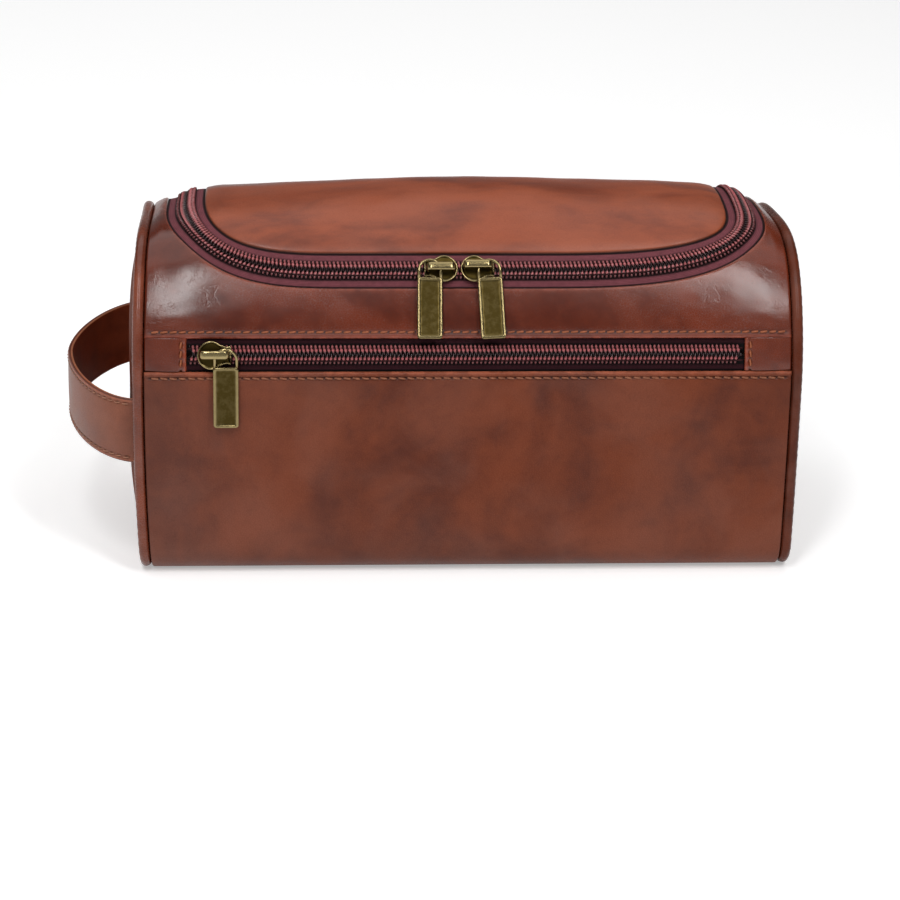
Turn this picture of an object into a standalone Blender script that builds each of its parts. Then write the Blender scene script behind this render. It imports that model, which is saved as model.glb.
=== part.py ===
"""Shaving kit bag: a half-barrel leather bag with a U-shaped zip round its lid,
a zipped pocket in its front and a carry strap at its left end.

Frame: metres, +Z up, floor at z = 0, +X to the viewer's right, the front faces -Y.
Places on the bag's skin are given as (x, girth): girth is the distance along the
outer cross-section, 0 where the front wall meets the vault, growing over the top
to the back and shrinking down the front wall. Depth is measured inward from the skin.
"""
import math

import bmesh
import bpy
from mathutils import Matrix, Vector

for old in list(bpy.data.objects):
    bpy.data.objects.remove(old)

# Body
BODY_LENGTH = 0.2478
BODY_DEPTH = 0.130
BODY_HEIGHT = 0.141
BASE_CORNER = 0.012
CROWN_DROP = 0.0070       # fall of the vault from its middle to its ends
SHOULDER_DROP = 0.0080    # further fall of the strip along each end
SHOULDER = 0.0220         # width of that strip
END_LEAN_LEFT = 0.0012    # how far each end leans in at the top of the vault
END_LEAN_RIGHT = 0.0006
FOOT_LEAN_LEFT = 0.0018   # how far each end leans in at the base
FOOT_LEAN_RIGHT = 0.0005
FOOT_HEIGHT = 0.0600      # height at which the lean towards the base starts
BASE_WIDTH = 0.092        # width of the base panel between its two seams

# Sheet stack
CLEAR = 0.0003            # space left between two pieces that touch
LEATHER = 0.0020
TAPE = 0.0007
FOAM = 0.0030
FRONT_FOAM = 0.0015
LINING = 0.0006
BOARD = 0.0020
SEAM_MARGIN = 0.0020      # how far inner sheets stop short of a seam

# Zips
MAIN_ZIP_ANGLE = math.radians(42.3)    # place of the front run on the vault
POCKET_ZIP_ANGLE = math.radians(12.9)
HINGE_ANGLE = math.radians(145.0)
ZIP_MARGIN = 0.0134       # end seam to a side run of the main zip
ZIP_RUN_LEFT = 0.066      # length of a corner of the main zip along its front run
ZIP_RUN_RIGHT = 0.093
ZIP_RISE_LEFT = 0.064     # and along its side run
ZIP_RISE_RIGHT = 0.041
ZIP_SQUARENESS = 3.4      # 2 makes the corners elliptic, more makes them squarer
ZIP_SPLIT = math.radians(45.0)         # corner angle that faces the yoke's own corner
MAIN_WINDOW = 0.0150      # width left between the leather edges
POCKET_WINDOW = 0.0134
TAPE_REACH = 0.0105       # centreline to the outer edge of a tape
TAPE_START = 0.0009
COIL_START = 0.0006
COIL_WIDTH = 0.0028
COIL_SUNK = 0.0002        # coil top below the leather surface
END_TAB_LEFT = 0.0161     # lengths of the leather tabs over the pocket zip's ends
END_TAB_RIGHT = 0.0183
HINGE_STRIP = 0.0160

# Sliders
SLIDER_LENGTH = 0.0131
SLIDER_WIDTH = 0.0110
SLIDER_TAIL = 0.0074
NOSE_SWEEP = math.radians(102.0)       # round part of the nose, each way from its tip
SLIDER_PLATE = 0.0010
SLIDER_POST = 0.0007      # width of the post that parts the two coils
SLIDER_POST_LENGTH = 0.0050
SLIDER_EASE = 0.0008      # cut corners of the tail
SLIDER_RUN = 0.0004       # running space under the tape and under the slider
LINING_SPACE = 0.0040     # lining edge to the slider's side
SLIDER_LIFT = 0.0030      # free height under the bridge
BRIDGE_BAR = 0.0012       # thickness of the bridge's bar and feet
BRIDGE_WIDTH = 0.0026
BRIDGE_SPAN = 0.0098
MAIN_SLIDERS_MEET = -0.0039
SLIDER_SPACE = 0.0010     # between the noses of the two main sliders
POCKET_SLIDER_GAP = 0.0041             # end tab to the pocket slider's nose

# Pull tabs
PULL_WIDTH = 0.0096
PULL_LENGTH = 0.0240
PULL_THICK = 0.0015
PULL_EASE = 0.0012        # cut corners of the free end
PULL_NECK = 0.0045        # pivot to the top edge of the tab
EYE_THICK = 0.0011
EYE_TOP = 0.0030
EYE_WALL = 0.0014
EYE_LAP = 0.0010          # how far the eye runs into the tab
EYE_SILL = 0.0004         # wall left between the eye's hole and the tab
PULL_TILT = math.radians(10.0)
PIVOT_HEIGHT = 0.0030     # above the leather surface

# Ends and strap
PIPING = 0.0021           # radius
PIPING_SUNK = 0.0022
END_BULGE = 0.0050
END_SQUARENESS = 5        # a higher power keeps the end flatter up to its rim
STRAP_WIDTH = 0.0255
STRAP_LAYER = 0.0013
STRAP_HEIGHT = 0.0585
STRAP_INSET = 0.0056      # front and back faces of the bag to the sewn ends' middles
STRAP_REACH = 0.0286      # how far the loop stands out from its sewn ends
STRAP_POINT = 1.15        # 1 bows the loop as an ellipse, more draws it to a point
STRAP_TURN = 0.0015       # knuckle radius beyond half the strap's width

VAULT_STEPS = 30
CORNER_STEPS = 3
ZIP_FRONT_STEPS = 6       # steps of a zip corner that face the front edge of the yoke
ZIP_SIDE_STEPS = 8        # steps of a zip corner that face the end seam
LID_ROWS = 14
LID_SPANS = 4
YOKE_ROWS = 8
STRAP_STEPS = 28
TAPE_STEPS = 3
END_RINGS = (0.97, 0.84, 0.65, 0.35)   # shares of the way out to an end's rim
ROUND_STEPS = 8
NOSE_STEPS = 12
ARCH_STEPS = 10
KNUCKLE_STEPS = 48
LEAST_STEP = 0.0005       # rows of points lie no closer than this
SMOOTH_UNDER = math.radians(35.0)      # edges flatter than this are shaded smooth

VAULT = BODY_DEPTH / 2
SPRING = BODY_HEIGHT - VAULT
WALL = SPRING - BASE_CORNER
FLAT = VAULT - BASE_CORNER
QUARTER = BASE_CORNER * math.pi / 2
HALF = BODY_LENGTH / 2
ZIP_SIDE = HALF - ZIP_MARGIN
OVER = VAULT * math.pi
MAIN_GIRTH = VAULT * MAIN_ZIP_ANGLE
POCKET_GIRTH = VAULT * POCKET_ZIP_ANGLE
HINGE_GIRTH = VAULT * HINGE_ANGLE
YOKE_FOOT = POCKET_GIRTH + POCKET_WINDOW / 2

TAPE_TOP = LEATHER + CLEAR
TAPE_FLOOR = TAPE_TOP + TAPE
LOWER_PLATE_TOP = TAPE_FLOOR + SLIDER_RUN
LOWER_PLATE_FLOOR = LOWER_PLATE_TOP + SLIDER_PLATE
UPPER_PLATE_FLOOR = CLEAR - COIL_SUNK
UPPER_PLATE_TOP = UPPER_PLATE_FLOOR + SLIDER_PLATE
BRIDGE_FLOOR = UPPER_PLATE_TOP + SLIDER_LIFT
POCKET_SHEET = LOWER_PLATE_FLOOR + SLIDER_RUN
FRONT_FOAM_TOP = POCKET_SHEET + LINING + CLEAR
FRONT_LINING = FRONT_FOAM_TOP + FRONT_FOAM + CLEAR
FOAM_TOP = LEATHER + CLEAR
LINING_TOP = FOAM_TOP + FOAM + 2 * CLEAR
END_INSET = PIPING_SUNK + PIPING + CLEAR
CORE_INSET = FRONT_LINING + LINING + CLEAR
CORE_SHARE = (VAULT - CORE_INSET) / (VAULT - END_INSET)
LINING_SETBACK = SLIDER_WIDTH / 2 + LINING_SPACE
FOAM_SETBACK = TAPE_REACH + 2 * CLEAR
KNUCKLE = STRAP_WIDTH / 2 + STRAP_TURN
STRAP_SPAN = BODY_DEPTH - 2 * STRAP_INSET
POCKET_SLIDER_X = END_TAB_LEFT + POCKET_SLIDER_GAP + SLIDER_LENGTH / 2 - HALF
STRAP_HALF = STRAP_LAYER + CLEAR / 2


def girth_on_base(y):
    """Girth of a point on the flat base, reached down the front wall."""
    return -(WALL + QUARTER + FLAT + y)


def section_point(girth, depth):
    """(y, z) of a point of the cross-section, sunk below the skin."""
    if girth > OVER / 2:
        y, z = section_point(OVER - girth, depth)
        return -y, z
    if girth >= 0:
        angle = girth / VAULT
        radius = VAULT - depth
        return -radius * math.cos(angle), SPRING + radius * math.sin(angle)
    down = -girth
    if down <= WALL:
        return depth - VAULT, SPRING - down
    down -= WALL
    if down <= QUARTER:
        angle = down / BASE_CORNER
        radius = BASE_CORNER - depth
        return -FLAT - radius * math.cos(angle), BASE_CORNER - radius * math.sin(angle)
    return -FLAT + down - QUARTER, depth


def crown_fall(x, girth):
    """How far the vault has dropped at this place towards the bag's ends."""
    if not MAIN_GIRTH < girth < HINGE_GIRTH:
        return 0.0
    share = (girth - MAIN_GIRTH) / (HINGE_GIRTH - MAIN_GIRTH)
    along = min(abs(x) / HALF, 1.0)
    past = min(max(1 - (HALF - abs(x)) / SHOULDER, 0.0), 1.0)
    fall = CROWN_DROP * along ** 2 + SHOULDER_DROP * past ** 2 * (3 - 2 * past)
    return fall * math.sin(math.pi * share) ** 2


def end_lean(girth, side):
    """How far an end has moved in at this girth."""
    top, foot = END_LEAN_LEFT, FOOT_LEAN_LEFT
    if side > 0:
        top, foot = END_LEAN_RIGHT, FOOT_LEAN_RIGHT
    angle = min(max(girth / VAULT, 0.0), math.pi)
    low = max(1 - section_point(girth, 0.0)[1] / FOOT_HEIGHT, 0.0)
    return top * math.sin(angle) ** 2 + foot * low ** 2


def skin(x, girth, depth):
    """Point of the bag's skin, sunk by depth."""
    y, z = section_point(girth, depth)
    return Vector((x * (1 - end_lean(girth, x) / HALF), y, z - crown_fall(x, girth)))


def break_points():
    """Girths at which every wrapped sheet has a row of points."""
    corner = [WALL + QUARTER * step / CORNER_STEPS for step in range(CORNER_STEPS + 1)]
    vault = [OVER * step / VAULT_STEPS for step in range(VAULT_STEPS + 1)]
    return [-place for place in reversed(corner)] + vault + [OVER + place for place in corner]


def girth_steps(start, end):
    """Girths from start to end, with the shared rows in between."""
    first, last = start + LEAST_STEP, end - LEAST_STEP
    inner = [place for place in break_points() if first < place < last]
    return [start] + inner + [end]


def material(name, colour, roughness, metallic=0.0):
    made = bpy.data.materials.new(name)
    made.use_nodes = True
    shader = made.node_tree.nodes["Principled BSDF"]
    shader.inputs["Base Color"].default_value = (*colour, 1.0)
    shader.inputs["Roughness"].default_value = roughness
    shader.inputs["Metallic"].default_value = metallic
    return made


LEATHER_LOOK = material("brown_leather", (0.170, 0.054, 0.033), 0.45)
PIPING_LOOK = material("piping_leather", (0.150, 0.050, 0.030), 0.45)
STRAP_LOOK = material("strap_leather", (0.190, 0.075, 0.050), 0.45)
STRAP_BACK_LOOK = material("strap_back_leather", (0.060, 0.018, 0.010), 0.60)
TAPE_LOOK = material("zip_tape", (0.120, 0.040, 0.046), 0.85)
COIL_LOOK = material("zip_coil", (0.110, 0.030, 0.034), 0.45)
BRASS_LOOK = material("antique_brass", (0.170, 0.125, 0.045), 0.35, 1.0)
LINING_LOOK = material("lining", (0.060, 0.035, 0.028), 0.90)
FOAM_LOOK = material("padding", (0.450, 0.420, 0.370), 0.95)
BOARD_LOOK = material("base_board", (0.080, 0.080, 0.080), 0.60)


def finish(name, mesh, look):
    """Turn a closed bmesh into a named object facing outward."""
    bmesh.ops.recalc_face_normals(mesh, faces=mesh.faces)
    data = bpy.data.meshes.new(name)
    mesh.to_mesh(data)
    mesh.free()
    data.materials.append(look)
    piece = bpy.data.objects.new(name, data)
    bpy.context.scene.collection.objects.link(piece)
    return piece


def sheet(name, grid, outer, inner, look):
    """Closed sheet over a grid of (x, girth) places, between two depths."""
    mesh = bmesh.new()
    top = [[mesh.verts.new(skin(x, girth, outer)) for x, girth in row] for row in grid]
    low = [[mesh.verts.new(skin(x, girth, inner)) for x, girth in row] for row in grid]
    last_row = len(grid) - 1
    last_column = len(grid[0]) - 1
    for i in range(last_row):
        for j in range(last_column):
            mesh.faces.new((top[i][j], top[i][j + 1], top[i + 1][j + 1], top[i + 1][j]))
            mesh.faces.new((low[i][j], low[i + 1][j], low[i + 1][j + 1], low[i][j + 1]))
    rim = [(0, j) for j in range(last_column)]
    rim += [(i, last_column) for i in range(last_row)]
    rim += [(last_row, j) for j in range(last_column, 0, -1)]
    rim += [(i, 0) for i in range(last_row, 0, -1)]
    for (i, j), (k, m) in zip(rim, rim[1:] + rim[:1]):
        mesh.faces.new((top[i][j], low[i][j], low[k][m], top[k][m]))
    return finish(name, mesh, look)


def band(name, girths, half_length, outer, inner, look):
    """Sheet wrapped straight along X over a run of girths."""
    grid = [[(-half_length, girth), (half_length, girth)] for girth in girths]
    return sheet(name, grid, outer, inner, look)


def sweep(name, stations, profile, look):
    """Solid strip: a closed (offset, depth) profile carried along stations."""
    mesh = bmesh.new()
    rings = []
    for station in stations:
        ring = [mesh.verts.new(skin(*station(offset), depth)) for offset, depth in profile]
        rings.append(ring)
    count = len(profile)
    for near, far in zip(rings, rings[1:]):
        for i in range(count):
            j = (i + 1) % count
            mesh.faces.new((near[i], near[j], far[j], far[i]))
    mesh.faces.new(rings[0])
    mesh.faces.new(rings[-1])
    return finish(name, mesh, look)


def prism(name, outline, low, high, look):
    """Straight prism: an outline in the first two axes between two heights."""
    mesh = bmesh.new()
    floor = [mesh.verts.new((a, b, low)) for a, b in outline]
    roof = [mesh.verts.new((a, b, high)) for a, b in outline]
    mesh.faces.new(floor)
    mesh.faces.new(roof)
    for i in range(len(outline)):
        j = (i + 1) % len(outline)
        mesh.faces.new((floor[i], floor[j], roof[j], roof[i]))
    return finish(name, mesh, look)


def box_outline(a_low, a_high, b_low, b_high):
    return [(a_low, b_low), (a_high, b_low), (a_high, b_high), (a_low, b_high)]


def combine(piece, tool, operation):
    """Join or cut a piece with a tool, which is then dropped."""
    look = piece.data.materials[0]
    tool.hide_render = True
    tool.display_type = 'WIRE'
    step = piece.modifiers.new("shape", 'BOOLEAN')
    step.operation = operation
    step.solver = 'EXACT'
    step.object = tool
    graph = bpy.context.evaluated_depsgraph_get()
    shaped = bpy.data.meshes.new_from_object(piece.evaluated_get(graph))
    piece.modifiers.clear()
    shaped.name = piece.name
    shaped.materials.clear()
    shaped.materials.append(look)
    for face in shaped.polygons:
        face.material_index = 0
    piece.data = shaped
    bpy.data.objects.remove(tool)
    return piece


def skin_frame(x, girth, tilt=0.0):
    """Frame on the skin: right, up along the skin, outward."""
    angle = girth / VAULT - tilt
    right = Vector((1, 0, 0))
    out = Vector((0, -math.cos(angle), math.sin(angle)))
    return right, out.cross(right), out


def placed(right, up, out, origin):
    matrix = Matrix((right, up, out)).transposed().to_4x4()
    matrix.translation = origin
    return matrix


def between(start, end, count):
    return [start + (end - start) * i / count for i in range(count + 1)]


# The main zip's path as stations, each giving (x, girth) for an offset out of the lid

def run_station(side, girth):
    return lambda offset: (side * (ZIP_SIDE + offset), girth)


def corner_size(side):
    return (ZIP_RUN_LEFT, ZIP_RISE_LEFT) if side < 0 else (ZIP_RUN_RIGHT, ZIP_RISE_RIGHT)


def corner_centre(side):
    """(x, girth) of the middle of one corner of the zip."""
    run, rise = corner_size(side)
    return side * (ZIP_SIDE - run), MAIN_GIRTH + rise


def corner_reach(side, angle):
    """How far the squarish corner reaches out and down where it faces this angle."""
    run, rise = corner_size(side)
    slope = math.sin(angle) * run ** ZIP_SQUARENESS
    fall = math.cos(angle) * rise ** ZIP_SQUARENESS
    across = slope ** (1 / (ZIP_SQUARENESS - 1))
    down = fall ** (1 / (ZIP_SQUARENESS - 1))
    share = (across / run) ** ZIP_SQUARENESS + (down / rise) ** ZIP_SQUARENESS
    size = share ** (-1 / ZIP_SQUARENESS)
    return across * size, down * size


def corner_station(side, angle):
    centre_x, centre_girth = corner_centre(side)
    across, down = corner_reach(side, angle)

    def place(offset):
        x = centre_x + side * (across + offset * math.sin(angle))
        return x, centre_girth - down - offset * math.cos(angle)
    return place


def corner_angles():
    """Angles round a zip corner, from the front run to the side run, about evenly along it."""
    power = ZIP_SQUARENESS - 1
    front = [ZIP_SPLIT * share ** power for share in between(0.0, 1.0, ZIP_FRONT_STEPS)]
    beyond = math.pi / 2 - ZIP_SPLIT
    side = [math.pi / 2 - beyond * share ** power for share in between(1.0, 0.0, ZIP_SIDE_STEPS)]
    return front + side[1:]


def side_girths(side, end):
    return girth_steps(corner_centre(side)[1], end)[1:]


def zip_stations(end):
    left = [run_station(-1, girth) for girth in reversed(side_girths(-1, end))]
    left += [corner_station(-1, angle) for angle in reversed(corner_angles())]
    right = [corner_station(1, angle) for angle in corner_angles()]
    right += [run_station(1, girth) for girth in side_girths(1, end)]
    return left + right


def outer_places(side, end):
    """Places on one half of the yoke's outer edge, one for each station."""
    centre_x, centre_girth = corner_centre(side)
    split_across, split_down = corner_reach(side, ZIP_SPLIT)
    places = []
    for index, angle in enumerate(corner_angles()):
        across, down = corner_reach(side, angle)
        if index <= ZIP_FRONT_STEPS:
            foot_x = centre_x + (side * HALF - centre_x) * across / split_across
            places.append((foot_x, YOKE_FOOT))
        else:
            rise = (centre_girth - YOKE_FOOT) * (1 - down / split_down)
            places.append((side * HALF, YOKE_FOOT + rise))
    return places + [(side * HALF, girth) for girth in side_girths(side, end)]


def tape_profile(sign):
    offsets = between(sign * TAPE_START, sign * TAPE_REACH, TAPE_STEPS)
    upper = [(offset, TAPE_TOP) for offset in offsets]
    lower = [(offset, TAPE_FLOOR) for offset in reversed(offsets)]
    return upper + lower


def coil_profile(sign):
    start = sign * COIL_START
    end = sign * (COIL_START + COIL_WIDTH)
    round_off = sign * COIL_WIDTH / 4
    shoulder = COIL_SUNK + COIL_WIDTH / 4
    points = [(start, LEATHER), (start, shoulder), (start + round_off, COIL_SUNK)]
    points += [(end - round_off, COIL_SUNK), (end, shoulder), (end, LEATHER)]
    return points


def lid_grid(inset, end, skip=1):
    """Columns of a lid layer whose edge lies inset from the zip's centreline."""
    angles = corner_angles()[::skip]
    left = [corner_station(-1, angle)(-inset) for angle in reversed(angles)]
    right = [corner_station(1, angle)(-inset) for angle in angles]
    front = MAIN_GIRTH + inset
    middle = [(x, front) for x in between(left[-1][0], right[0][0], LID_SPANS)[1:-1]]
    columns = left + middle + right
    return [[(x, girth) for girth in between(near, end, LID_ROWS)] for x, near in columns]


# Leather of the body
front_edge = girth_on_base(-BASE_WIDTH / 2 - CLEAR)
band("base_panel", [girth_on_base(BASE_WIDTH / 2), girth_on_base(-BASE_WIDTH / 2)],
     HALF, 0.0, LEATHER, LEATHER_LOOK)
band("front_pocket_panel", girth_steps(front_edge, POCKET_GIRTH - POCKET_WINDOW / 2),
     HALF, 0.0, LEATHER, LEATHER_LOOK)
band("back_panel", girth_steps(HINGE_GIRTH + CLEAR, OVER - front_edge),
     HALF, 0.0, LEATHER, LEATHER_LOOK)
yoke_end = HINGE_GIRTH - CLEAR
yoke_rows = []
outer_edge = list(reversed(outer_places(-1, yoke_end))) + outer_places(1, yoke_end)
for station, (far_x, far_girth) in zip(zip_stations(yoke_end), outer_edge):
    near_x, near_girth = station(MAIN_WINDOW / 2)
    across = between(near_x, far_x, YOKE_ROWS)
    along = between(near_girth, far_girth, YOKE_ROWS)
    yoke_rows.append(list(zip(across, along)))
sheet("front_yoke", yoke_rows, 0.0, LEATHER, LEATHER_LOOK)

# Padding, lining and stiffening of the body
band("front_padding", girth_steps(-WALL + SEAM_MARGIN, MAIN_GIRTH - FOAM_SETBACK),
     HALF - SEAM_MARGIN, FRONT_FOAM_TOP, FRONT_FOAM_TOP + FRONT_FOAM, FOAM_LOOK)
band("back_padding", girth_steps(HINGE_GIRTH + HINGE_STRIP / 2 + CLEAR, OVER + WALL),
     HALF - SEAM_MARGIN, FOAM_TOP, FOAM_TOP + FOAM, FOAM_LOOK)
band("base_board", [girth_on_base(FLAT - CLEAR), girth_on_base(CLEAR - FLAT)],
     HALF - SEAM_MARGIN, FOAM_TOP, FOAM_TOP + BOARD, BOARD_LOOK)
band("lining_front", girth_steps(-WALL - QUARTER, MAIN_GIRTH - LINING_SETBACK),
     HALF - CLEAR, FRONT_LINING, FRONT_LINING + LINING, LINING_LOOK)
band("lining_back", girth_steps(HINGE_GIRTH + SEAM_MARGIN, OVER + WALL + QUARTER),
     HALF - CLEAR, LINING_TOP, LINING_TOP + LINING, LINING_LOOK)
band("lining_base", [girth_on_base(FLAT - CLEAR), girth_on_base(CLEAR - FLAT)],
     HALF - CLEAR, LINING_TOP, LINING_TOP + LINING, LINING_LOOK)
band("pocket_lining", girth_steps(-WALL, POCKET_GIRTH + TAPE_REACH),
     HALF - SEAM_MARGIN, POCKET_SHEET, POCKET_SHEET + LINING, LINING_LOOK)
band("hinge_strip",
     girth_steps(HINGE_GIRTH - HINGE_STRIP / 2, HINGE_GIRTH + HINGE_STRIP / 2),
     ZIP_SIDE - TAPE_REACH - CLEAR, TAPE_TOP, TAPE_FLOOR, LINING_LOOK)

# Lid
lid_end = HINGE_GIRTH - CLEAR
sheet("lid_panel", lid_grid(MAIN_WINDOW / 2, lid_end), 0.0, LEATHER, LEATHER_LOOK)
sheet("lid_padding", lid_grid(FOAM_SETBACK, HINGE_GIRTH - HINGE_STRIP / 2 - 2 * CLEAR, 2),
      FOAM_TOP, FOAM_TOP + FOAM, FOAM_LOOK)
sheet("lid_lining", lid_grid(LINING_SETBACK, HINGE_GIRTH - SEAM_MARGIN, 2),
      LINING_TOP, LINING_TOP + LINING, LINING_LOOK)

# Main zip
coil_end = lid_end - SEAM_MARGIN
sweep("body_zip_tape", zip_stations(lid_end), tape_profile(1), TAPE_LOOK)
sweep("lid_zip_tape", zip_stations(lid_end), tape_profile(-1), TAPE_LOOK)
sweep("body_zip_coil", zip_stations(coil_end), coil_profile(1), COIL_LOOK)
sweep("lid_zip_coil", zip_stations(coil_end), coil_profile(-1), COIL_LOOK)


# Pocket zip
def pocket_stations(start, end):
    return [lambda offset, x=x: (x, POCKET_GIRTH + offset) for x in (start, end)]


tape_half = HALF - SEAM_MARGIN
end_tabs = {-1: END_TAB_LEFT, 1: END_TAB_RIGHT}
coil_ends = [side * (HALF - end_tabs[side] - CLEAR) for side in (-1, 1)]
for sign, place in ((1, "upper"), (-1, "lower")):
    sweep("pocket_tape_" + place, pocket_stations(-tape_half, tape_half), tape_profile(sign), TAPE_LOOK)
    sweep("pocket_coil_" + place, pocket_stations(*coil_ends), coil_profile(sign), COIL_LOOK)
tab_edge = POCKET_WINDOW / 2 - CLEAR
tab_girths = girth_steps(POCKET_GIRTH - tab_edge, POCKET_GIRTH + tab_edge)
for side, place in ((-1, "left"), (1, "right")):
    tab_start = side * (HALF - end_tabs[side])
    tab_grid = [[(tab_start, girth), (side * HALF, girth)] for girth in tab_girths]
    sheet("pocket_end_tab_" + place, tab_grid, COIL_SUNK, LEATHER, LEATHER_LOOK)


# Ends
def loop_girths():
    """Girths round the whole cross-section; the flat base closes the loop."""
    return girth_steps(-WALL - QUARTER, OVER + WALL + QUARTER)


def dome(share):
    """Outer x of an end panel at a share of the way from its middle to its rim."""
    return HALF + CLEAR + LEATHER + END_BULGE * (1 - share ** END_SQUARENESS)


def end_shell(name, side, rim_share, outer, inner, look, skip=1):
    """Domed sheet over an end, out to a share of its outline, between two depths."""
    mesh = bmesh.new()
    girths = loop_girths()[::skip]
    count = len(girths)
    middle = SPRING
    shares = [rim_share] + [share for share in END_RINGS if share < rim_share]
    rims = []
    for sunk in (outer, inner):
        rings = []
        for share in shares:
            ring = []
            for girth in girths:
                rim = skin(HALF, girth, END_INSET)
                x = dome(share) - end_lean(girth, side) * share ** 2 - sunk
                z = middle + (rim.z - middle) * share
                ring.append(mesh.verts.new((side * x, rim.y * share, z)))
            rings.append(ring)
        centre = mesh.verts.new((side * (dome(0.0) - sunk), 0.0, middle))
        for i in range(count):
            j = (i + 1) % count
            for near, far in zip(rings, rings[1:]):
                mesh.faces.new((near[i], near[j], far[j], far[i]))
            mesh.faces.new((rings[-1][i], rings[-1][j], centre))
        rims.append(rings[0])
    for i in range(count):
        j = (i + 1) % count
        mesh.faces.new((rims[0][i], rims[1][i], rims[1][j], rims[0][j]))
    return finish(name, mesh, look)


def piping(name, side):
    mesh = bmesh.new()
    x = side * (HALF + CLEAR + PIPING)
    rings = []
    for girth in loop_girths():
        centre = skin(x, girth, PIPING_SUNK)
        out = (skin(x, girth, 0.0) - centre).normalized()
        ring = []
        for i in range(ROUND_STEPS):
            angle = 2 * math.pi * i / ROUND_STEPS
            offset = Vector((math.cos(angle), 0, 0)) + out * math.sin(angle)
            ring.append(mesh.verts.new(centre + offset * PIPING))
        rings.append(ring)
    for near, far in zip(rings, rings[1:] + rings[:1]):
        for i in range(ROUND_STEPS):
            j = (i + 1) % ROUND_STEPS
            mesh.faces.new((near[i], near[j], far[j], far[i]))
    return finish(name, mesh, PIPING_LOOK)


for side, place in ((-1, "left"), (1, "right")):
    end_shell("end_panel_" + place, side, 1.0, 0.0, LEATHER, LEATHER_LOOK)
    piping("piping_" + place, side)
    end_foam = LEATHER + CLEAR
    end_lining = end_foam + FOAM + CLEAR
    end_shell("end_padding_" + place, side, CORE_SHARE, end_foam, end_foam + FOAM, FOAM_LOOK, 2)
    end_shell("lining_end_" + place, side, CORE_SHARE, end_lining, end_lining + LINING,
              LINING_LOOK, 2)


# Sliders and pulls
def slider(name, x, girth, facing):
    """Zip slider whose wide nose points along facing * X."""
    radius = SLIDER_WIDTH / 2
    nose = SLIDER_LENGTH / 2 - radius
    tail = -SLIDER_LENGTH / 2
    outline = []
    for angle in between(-NOSE_SWEEP, NOSE_SWEEP, NOSE_STEPS):
        outline.append((nose + radius * math.cos(angle), radius * math.sin(angle)))
    half_tail = SLIDER_TAIL / 2
    outline += [(tail + SLIDER_EASE, half_tail), (tail, half_tail - SLIDER_EASE)]
    outline += [(tail, SLIDER_EASE - half_tail), (tail + SLIDER_EASE, -half_tail)]
    piece = prism(name, outline, UPPER_PLATE_FLOOR, UPPER_PLATE_TOP, BRASS_LOOK)
    lower = prism("lower", outline, -LOWER_PLATE_FLOOR, -LOWER_PLATE_TOP, BRASS_LOOK)
    combine(piece, lower, 'UNION')
    overlap = SLIDER_PLATE / 2
    post_end = nose + radius - overlap
    post = box_outline(post_end - SLIDER_POST_LENGTH, post_end, -SLIDER_POST / 2, SLIDER_POST / 2)
    post_floor = -LOWER_PLATE_TOP - overlap
    combine(piece, prism("post", post, post_floor, UPPER_PLATE_FLOOR + overlap, BRASS_LOOK), 'UNION')
    reach = BRIDGE_SPAN / 2
    bar = box_outline(-reach, reach, -BRIDGE_WIDTH / 2, BRIDGE_WIDTH / 2)
    bridge = prism("bridge", bar, UPPER_PLATE_TOP - overlap, BRIDGE_FLOOR + BRIDGE_BAR, BRASS_LOOK)
    between_feet = reach - BRIDGE_BAR
    opening = box_outline(-between_feet, between_feet, -BRIDGE_WIDTH, BRIDGE_WIDTH)
    combine(bridge, prism("opening", opening, 0.0, BRIDGE_FLOOR, BRASS_LOOK), 'DIFFERENCE')
    combine(piece, bridge, 'UNION')
    right, up, out = skin_frame(x, girth)
    piece.matrix_world = placed(right * facing, up * facing, out, skin(x, girth, 0.0))
    return piece


def arch(half, spring, foot):
    """Outline of a round-topped window: half width, height of its centre, height of its foot."""
    points = []
    for angle in between(0.0, math.pi, ARCH_STEPS):
        points.append((half * math.cos(angle), spring + half * math.sin(angle)))
    return points + [(-half, foot), (half, foot)]


def pull(name, x, girth, facing):
    """Pull tab hanging from the tail foot of a slider's bridge."""
    half = PULL_WIDTH / 2
    eye = arch(half, EYE_TOP - half, -PULL_NECK - EYE_LAP)
    piece = prism(name, eye, -EYE_THICK / 2, EYE_THICK / 2, BRASS_LOOK)
    bore = half - EYE_WALL
    hole = arch(bore, EYE_TOP - half, EYE_SILL - PULL_NECK)
    combine(piece, prism("hole", hole, -EYE_THICK, EYE_THICK, BRASS_LOOK), 'DIFFERENCE')
    tip = -PULL_NECK - PULL_LENGTH
    tab = [(half, -PULL_NECK), (-half, -PULL_NECK), (-half, tip + PULL_EASE)]
    tab += [(PULL_EASE - half, tip), (half - PULL_EASE, tip), (half, tip + PULL_EASE)]
    combine(piece, prism("tab", tab, -PULL_THICK / 2, PULL_THICK / 2, BRASS_LOOK), 'UNION')
    flat_right, flat_up, flat_out = skin_frame(x, girth)
    foot = facing * (BRIDGE_BAR - BRIDGE_SPAN) / 2
    pivot = skin(x, girth, 0.0) + flat_right * foot + flat_out * PIVOT_HEIGHT
    piece.matrix_world = placed(*skin_frame(x, girth, PULL_TILT), pivot)
    return piece


apart = SLIDER_LENGTH / 2 + SLIDER_SPACE / 2
for facing, place in ((1, "left"), (-1, "right")):
    slider_x = MAIN_SLIDERS_MEET - facing * apart
    slider("main_slider_" + place, slider_x, MAIN_GIRTH, facing)
    pull("main_pull_" + place, slider_x, MAIN_GIRTH, facing)
slider("pocket_slider", POCKET_SLIDER_X, POCKET_GIRTH, -1)
pull("pocket_pull", POCKET_SLIDER_X, POCKET_GIRTH, -1)

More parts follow.
